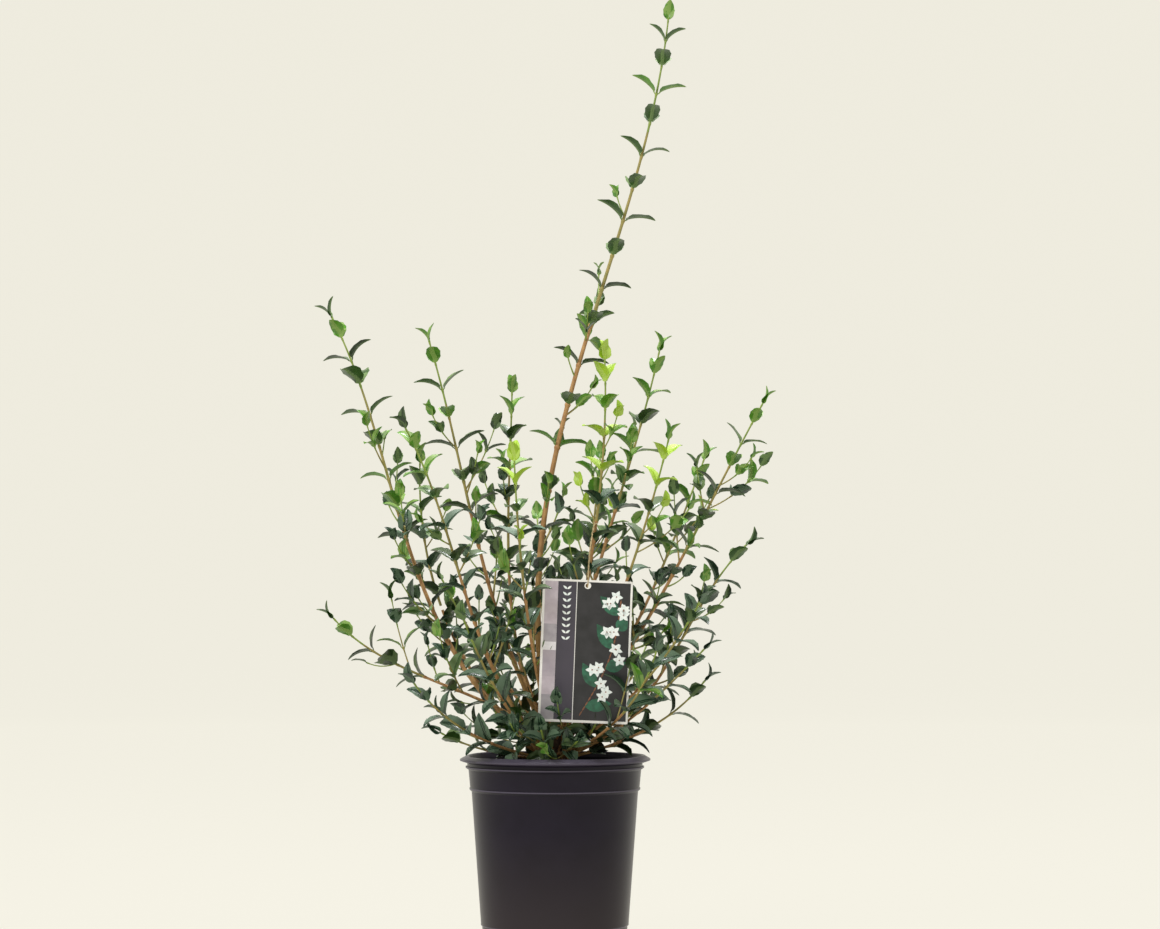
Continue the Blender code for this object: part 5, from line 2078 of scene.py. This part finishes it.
@dataclass
class LabelTie:
    """The pale two-strand tie that carries the label from a stem."""

    label: PictureLabel
    line: StemLine
    shoot: Shoot
    height: float = 421 * MM
    strand_radius: float = 0.42 * MM
    strand_sides: int = 8
    turns: float = 5.5
    twist_steps: int = 60
    twist_spread: float = 1.05
    bow: float = 1.5 * MM
    knot_gap: float = 1.6 * MM
    knot_drop_mm: float = 3
    loop_drop_mm: float = 2
    loop_end_deg: int = 150
    loop_step_deg: int = 15
    over_card: float = 2.5 * MM
    card_gap: float = 0.15 * MM
    card_loop_steps: int = 24
    card_loop_swell: float = 1.25
    card_loop_reach: float = 0.3 * MM
    card_loop_drop: float = 1.2 * MM

    def strand(self, points: Sequence[Vector]) -> Shape:
        """Makes one round strand through some points."""
        return tube(points, [self.strand_radius] * len(points), self.strand_sides)

    def stem_loop(
        self, stem: Vector, direction: Vector, back: Vector, side: Vector, reach: float
    ) -> list[Vector]:
        """The loop round the stem, without its knot.

        Args:
            stem: The stem's middle.
            direction: The stem's direction.
            back: The way from the label to the stem.
            side: The way square to both.
            reach: The loop's radius.

        Returns:
            Its points.
        """
        points = []
        for turn in range(-self.loop_end_deg, self.loop_end_deg + 1, self.loop_step_deg):
            way = radians(turn)
            forward = (1 - cos(way)) / 2
            round_stem = side * reach * sin(way) + back * reach * cos(way)
            points.append(stem + round_stem - direction * self.loop_drop_mm * MM * forward)
        return points

    def twist(self, start: Vector, end: Vector, back: Vector, side: Vector, phase: float) -> list[Vector]:
        """One of the two strands that twist round each other.

        Args:
            start: The knot.
            end: The top of the loop through the card.
            back: The way from the label to the stem.
            side: The way square to that.
            phase: The strand's first turn, in radians.

        Returns:
            Its points.
        """
        points = []
        spread = self.strand_radius * self.twist_spread
        for step in range(self.twist_steps + 1):
            share = step / self.twist_steps
            bow = sin(pi * share) * self.bow
            angle = tau * self.turns * share + phase
            out = side * (spread * cos(angle) + bow)
            points.append(start.lerp(end, share) + out + back * spread * sin(angle))
        return points

    def card_loop(self) -> list[Vector]:
        """The loop through the card's hole and over its top edge.

        Returns:
            Its points.
        """
        place = self.label.place()
        reach = (self.label.thickness / 2 + self.strand_radius + self.card_gap) * self.card_loop_swell
        rise = self.label.hole_drop + self.over_card
        points = []
        for step in range(self.card_loop_steps + 1):
            angle = pi * (step / self.card_loop_steps * 2 - 0.5)
            height = rise / 2 + (rise / 2 + self.card_loop_reach) * sin(angle) - self.card_loop_drop
            points.append(place @ Vector((0.0, -reach * cos(angle), height)))
        return points

    def build(self) -> None:
        """Makes the loop round the stem, the twisted pair below it and the loop through the card."""
        step = next(step for step, point in enumerate(self.line.points) if point.z > self.height)
        distance = step * StemLine.STEP
        stem, direction = self.line.at(distance)
        place = self.label.place()
        back = stem - place.translation
        back.z = 0.0
        back = (back - direction * back.dot(direction)).normalized()
        side = direction.cross(back).normalized()
        reach = self.shoot.radius(distance) + self.strand_radius
        knot = stem - back * (reach + self.knot_gap) - direction * self.knot_drop_mm * MM
        foot = place @ Vector((0.0, 0.0, self.label.hole_drop + self.over_card))
        joined = JoinedMesh()
        joined.add(*self.strand([knot, *self.stem_loop(stem, direction, back, side, reach), knot]))
        for phase in (0.0, pi):
            joined.add(*self.strand(self.twist(knot, foot, back, side, phase)))
        joined.add(*self.strand(self.card_loop()))
        dress(joined.build("twisted_tie"), "twisted_tie", [PAPER_TIE], ["label_tie"])


@dataclass(frozen=True)
class SoftLight:
    """A round soft light: its name, place, width and power in watts."""

    name: str
    place: Triple
    size: float
    power: float

    def build(self, aim: Vector) -> None:
        """Hangs the light.

        Args:
            aim: The point that it looks at.
        """
        light = bpy.data.lights.new(self.name, "AREA")
        light.shape = "DISK"
        light.size = self.size
        light.energy = self.power
        obj = add_object(self.name, light)
        obj.location = self.place
        obj.rotation_euler = (aim - Vector(self.place)).to_track_quat("-Z", "Y").to_euler()


@dataclass
class Studio:
    """A pale round studio: a floor that curves up to a wall, soft lights and the photograph's camera."""

    board: PaintedBoard = PaintedBoard()
    radius: float = 7.0
    fillet: float = 1.6
    fillet_steps: int = 10
    wall: float = 3.2
    sides: int = 128
    camera_at: Triple = (25 * MM, -3.0, 345 * MM)
    aim_height: float = 480.5 * MM
    view_width: float = 1160 * MM
    sensor_width: float = 36.0
    far_end: float = 60.0
    lights: tuple[SoftLight, ...] = (
        SoftLight("key", (-1.7, -1.9, 2.3), 1.0, 58.0),
        SoftLight("fill", (2.1, -1.5, 1.5), 1.6, 8.0),
        SoftLight("top", (0.1, 0.5, 3.0), 1.2, 125.0),
    )
    lights_aim: Triple = (0.0, 0.0, 0.45)
    sky: tuple[float, float, float, float] = (1.0, 0.99, 0.97, 1.0)
    sky_strength: float = 0.3

    def build_camera(self) -> None:
        """Sets the camera where the photograph was taken from."""
        camera = bpy.data.cameras.new("camera")
        camera.sensor_width = self.sensor_width
        distance = -self.camera_at[1]
        camera.lens = self.sensor_width * distance / self.view_width
        camera.clip_end = self.far_end
        obj = add_object("camera", camera)
        obj.location = self.camera_at
        pitch = atan2(self.aim_height - self.camera_at[2], distance)
        obj.rotation_euler = (pi / 2 + pitch, 0.0, 0.0)
        bpy.context.scene.camera = obj

    def build_floor(self) -> None:
        """Makes the round floor with its curved-up wall."""
        flat_radius = self.radius - self.fillet
        outline = [(flat_radius, 0.0)]
        for step in range(1, self.fillet_steps + 1):
            angle = pi / 2 * step / self.fillet_steps
            radius = self.radius - self.fillet * (1 - sin(angle))
            outline.append((radius, self.fillet * (1 - cos(angle))))
        outline.append((self.radius, self.fillet + self.wall))
        deselect_all()
        bpy.ops.mesh.primitive_circle_add(vertices=self.sides, radius=flat_radius, fill_type="NGON")
        floor = bpy.context.object
        edit_all(floor, "EDGE")
        bpy.ops.mesh.region_to_loop()
        raise_rings(outline)
        leave_edit(inside=True)
        floor.name = "studio_floor"
        floor.data.materials.append(self.board.material())
        bpy.ops.object.shade_smooth()

    def build_sky(self) -> None:
        """Makes the even sky."""
        world = bpy.data.worlds.new("studio_sky")
        world.use_nodes = True
        sky = world.node_tree.nodes["Background"]
        sky.inputs["Color"].default_value = self.sky
        sky.inputs["Strength"].default_value = self.sky_strength
        bpy.context.scene.world = world

    def build(self) -> None:
        """Makes the camera, the floor, the lights and the sky, and keeps colours as they are."""
        self.build_camera()
        self.build_floor()
        for light in self.lights:
            light.build(Vector(self.lights_aim))
        self.build_sky()
        bpy.context.scene.view_settings.view_transform = "Standard"
        log.info("studio: %d lights", len(self.lights))


def main() -> None:
    """Builds the scene piece by piece, from the studio to the label's tie."""
    logging.basicConfig(level=logging.INFO, format="%(message)s")
    Studio().build()
    pot = Pot()
    pot.build()
    PottingSoil(pot).build()
    stool = Stool()
    stool.build()
    crown = Crown(GrowthRule(), stool.radius)
    for name in ("pot", "potting_soil", "label_card", "label_tie"):
        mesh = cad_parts[name].data
        points = [vertex.co.copy() for vertex in mesh.vertices]
        crown.add_limb(name, points, [tuple(face.vertices) for face in mesh.polygons])
    crown.grow(SHOOTS + BasalShoots().shoots())
    log.info("leaves: %d, stems: %d", len(crown.leaves), len(crown.stems))
    for shoot in SHOOTS:
        if shoot.bare:
            Bough(shoot, crown.lines[shoot.name]).build()
    foliage_nodes = [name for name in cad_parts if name.startswith("foliage_")]
    Twigs(crown).build(foliage_nodes)
    Foliage(crown, LeafForm()).build(foliage_nodes)
    label = PictureLabel()
    label.build()
    tied = next(shoot for shoot in SHOOTS if shoot.name == "front_tall")
    LabelTie(label, crown.lines[tied.name], tied).build()


if __name__ == "__main__":
    main()
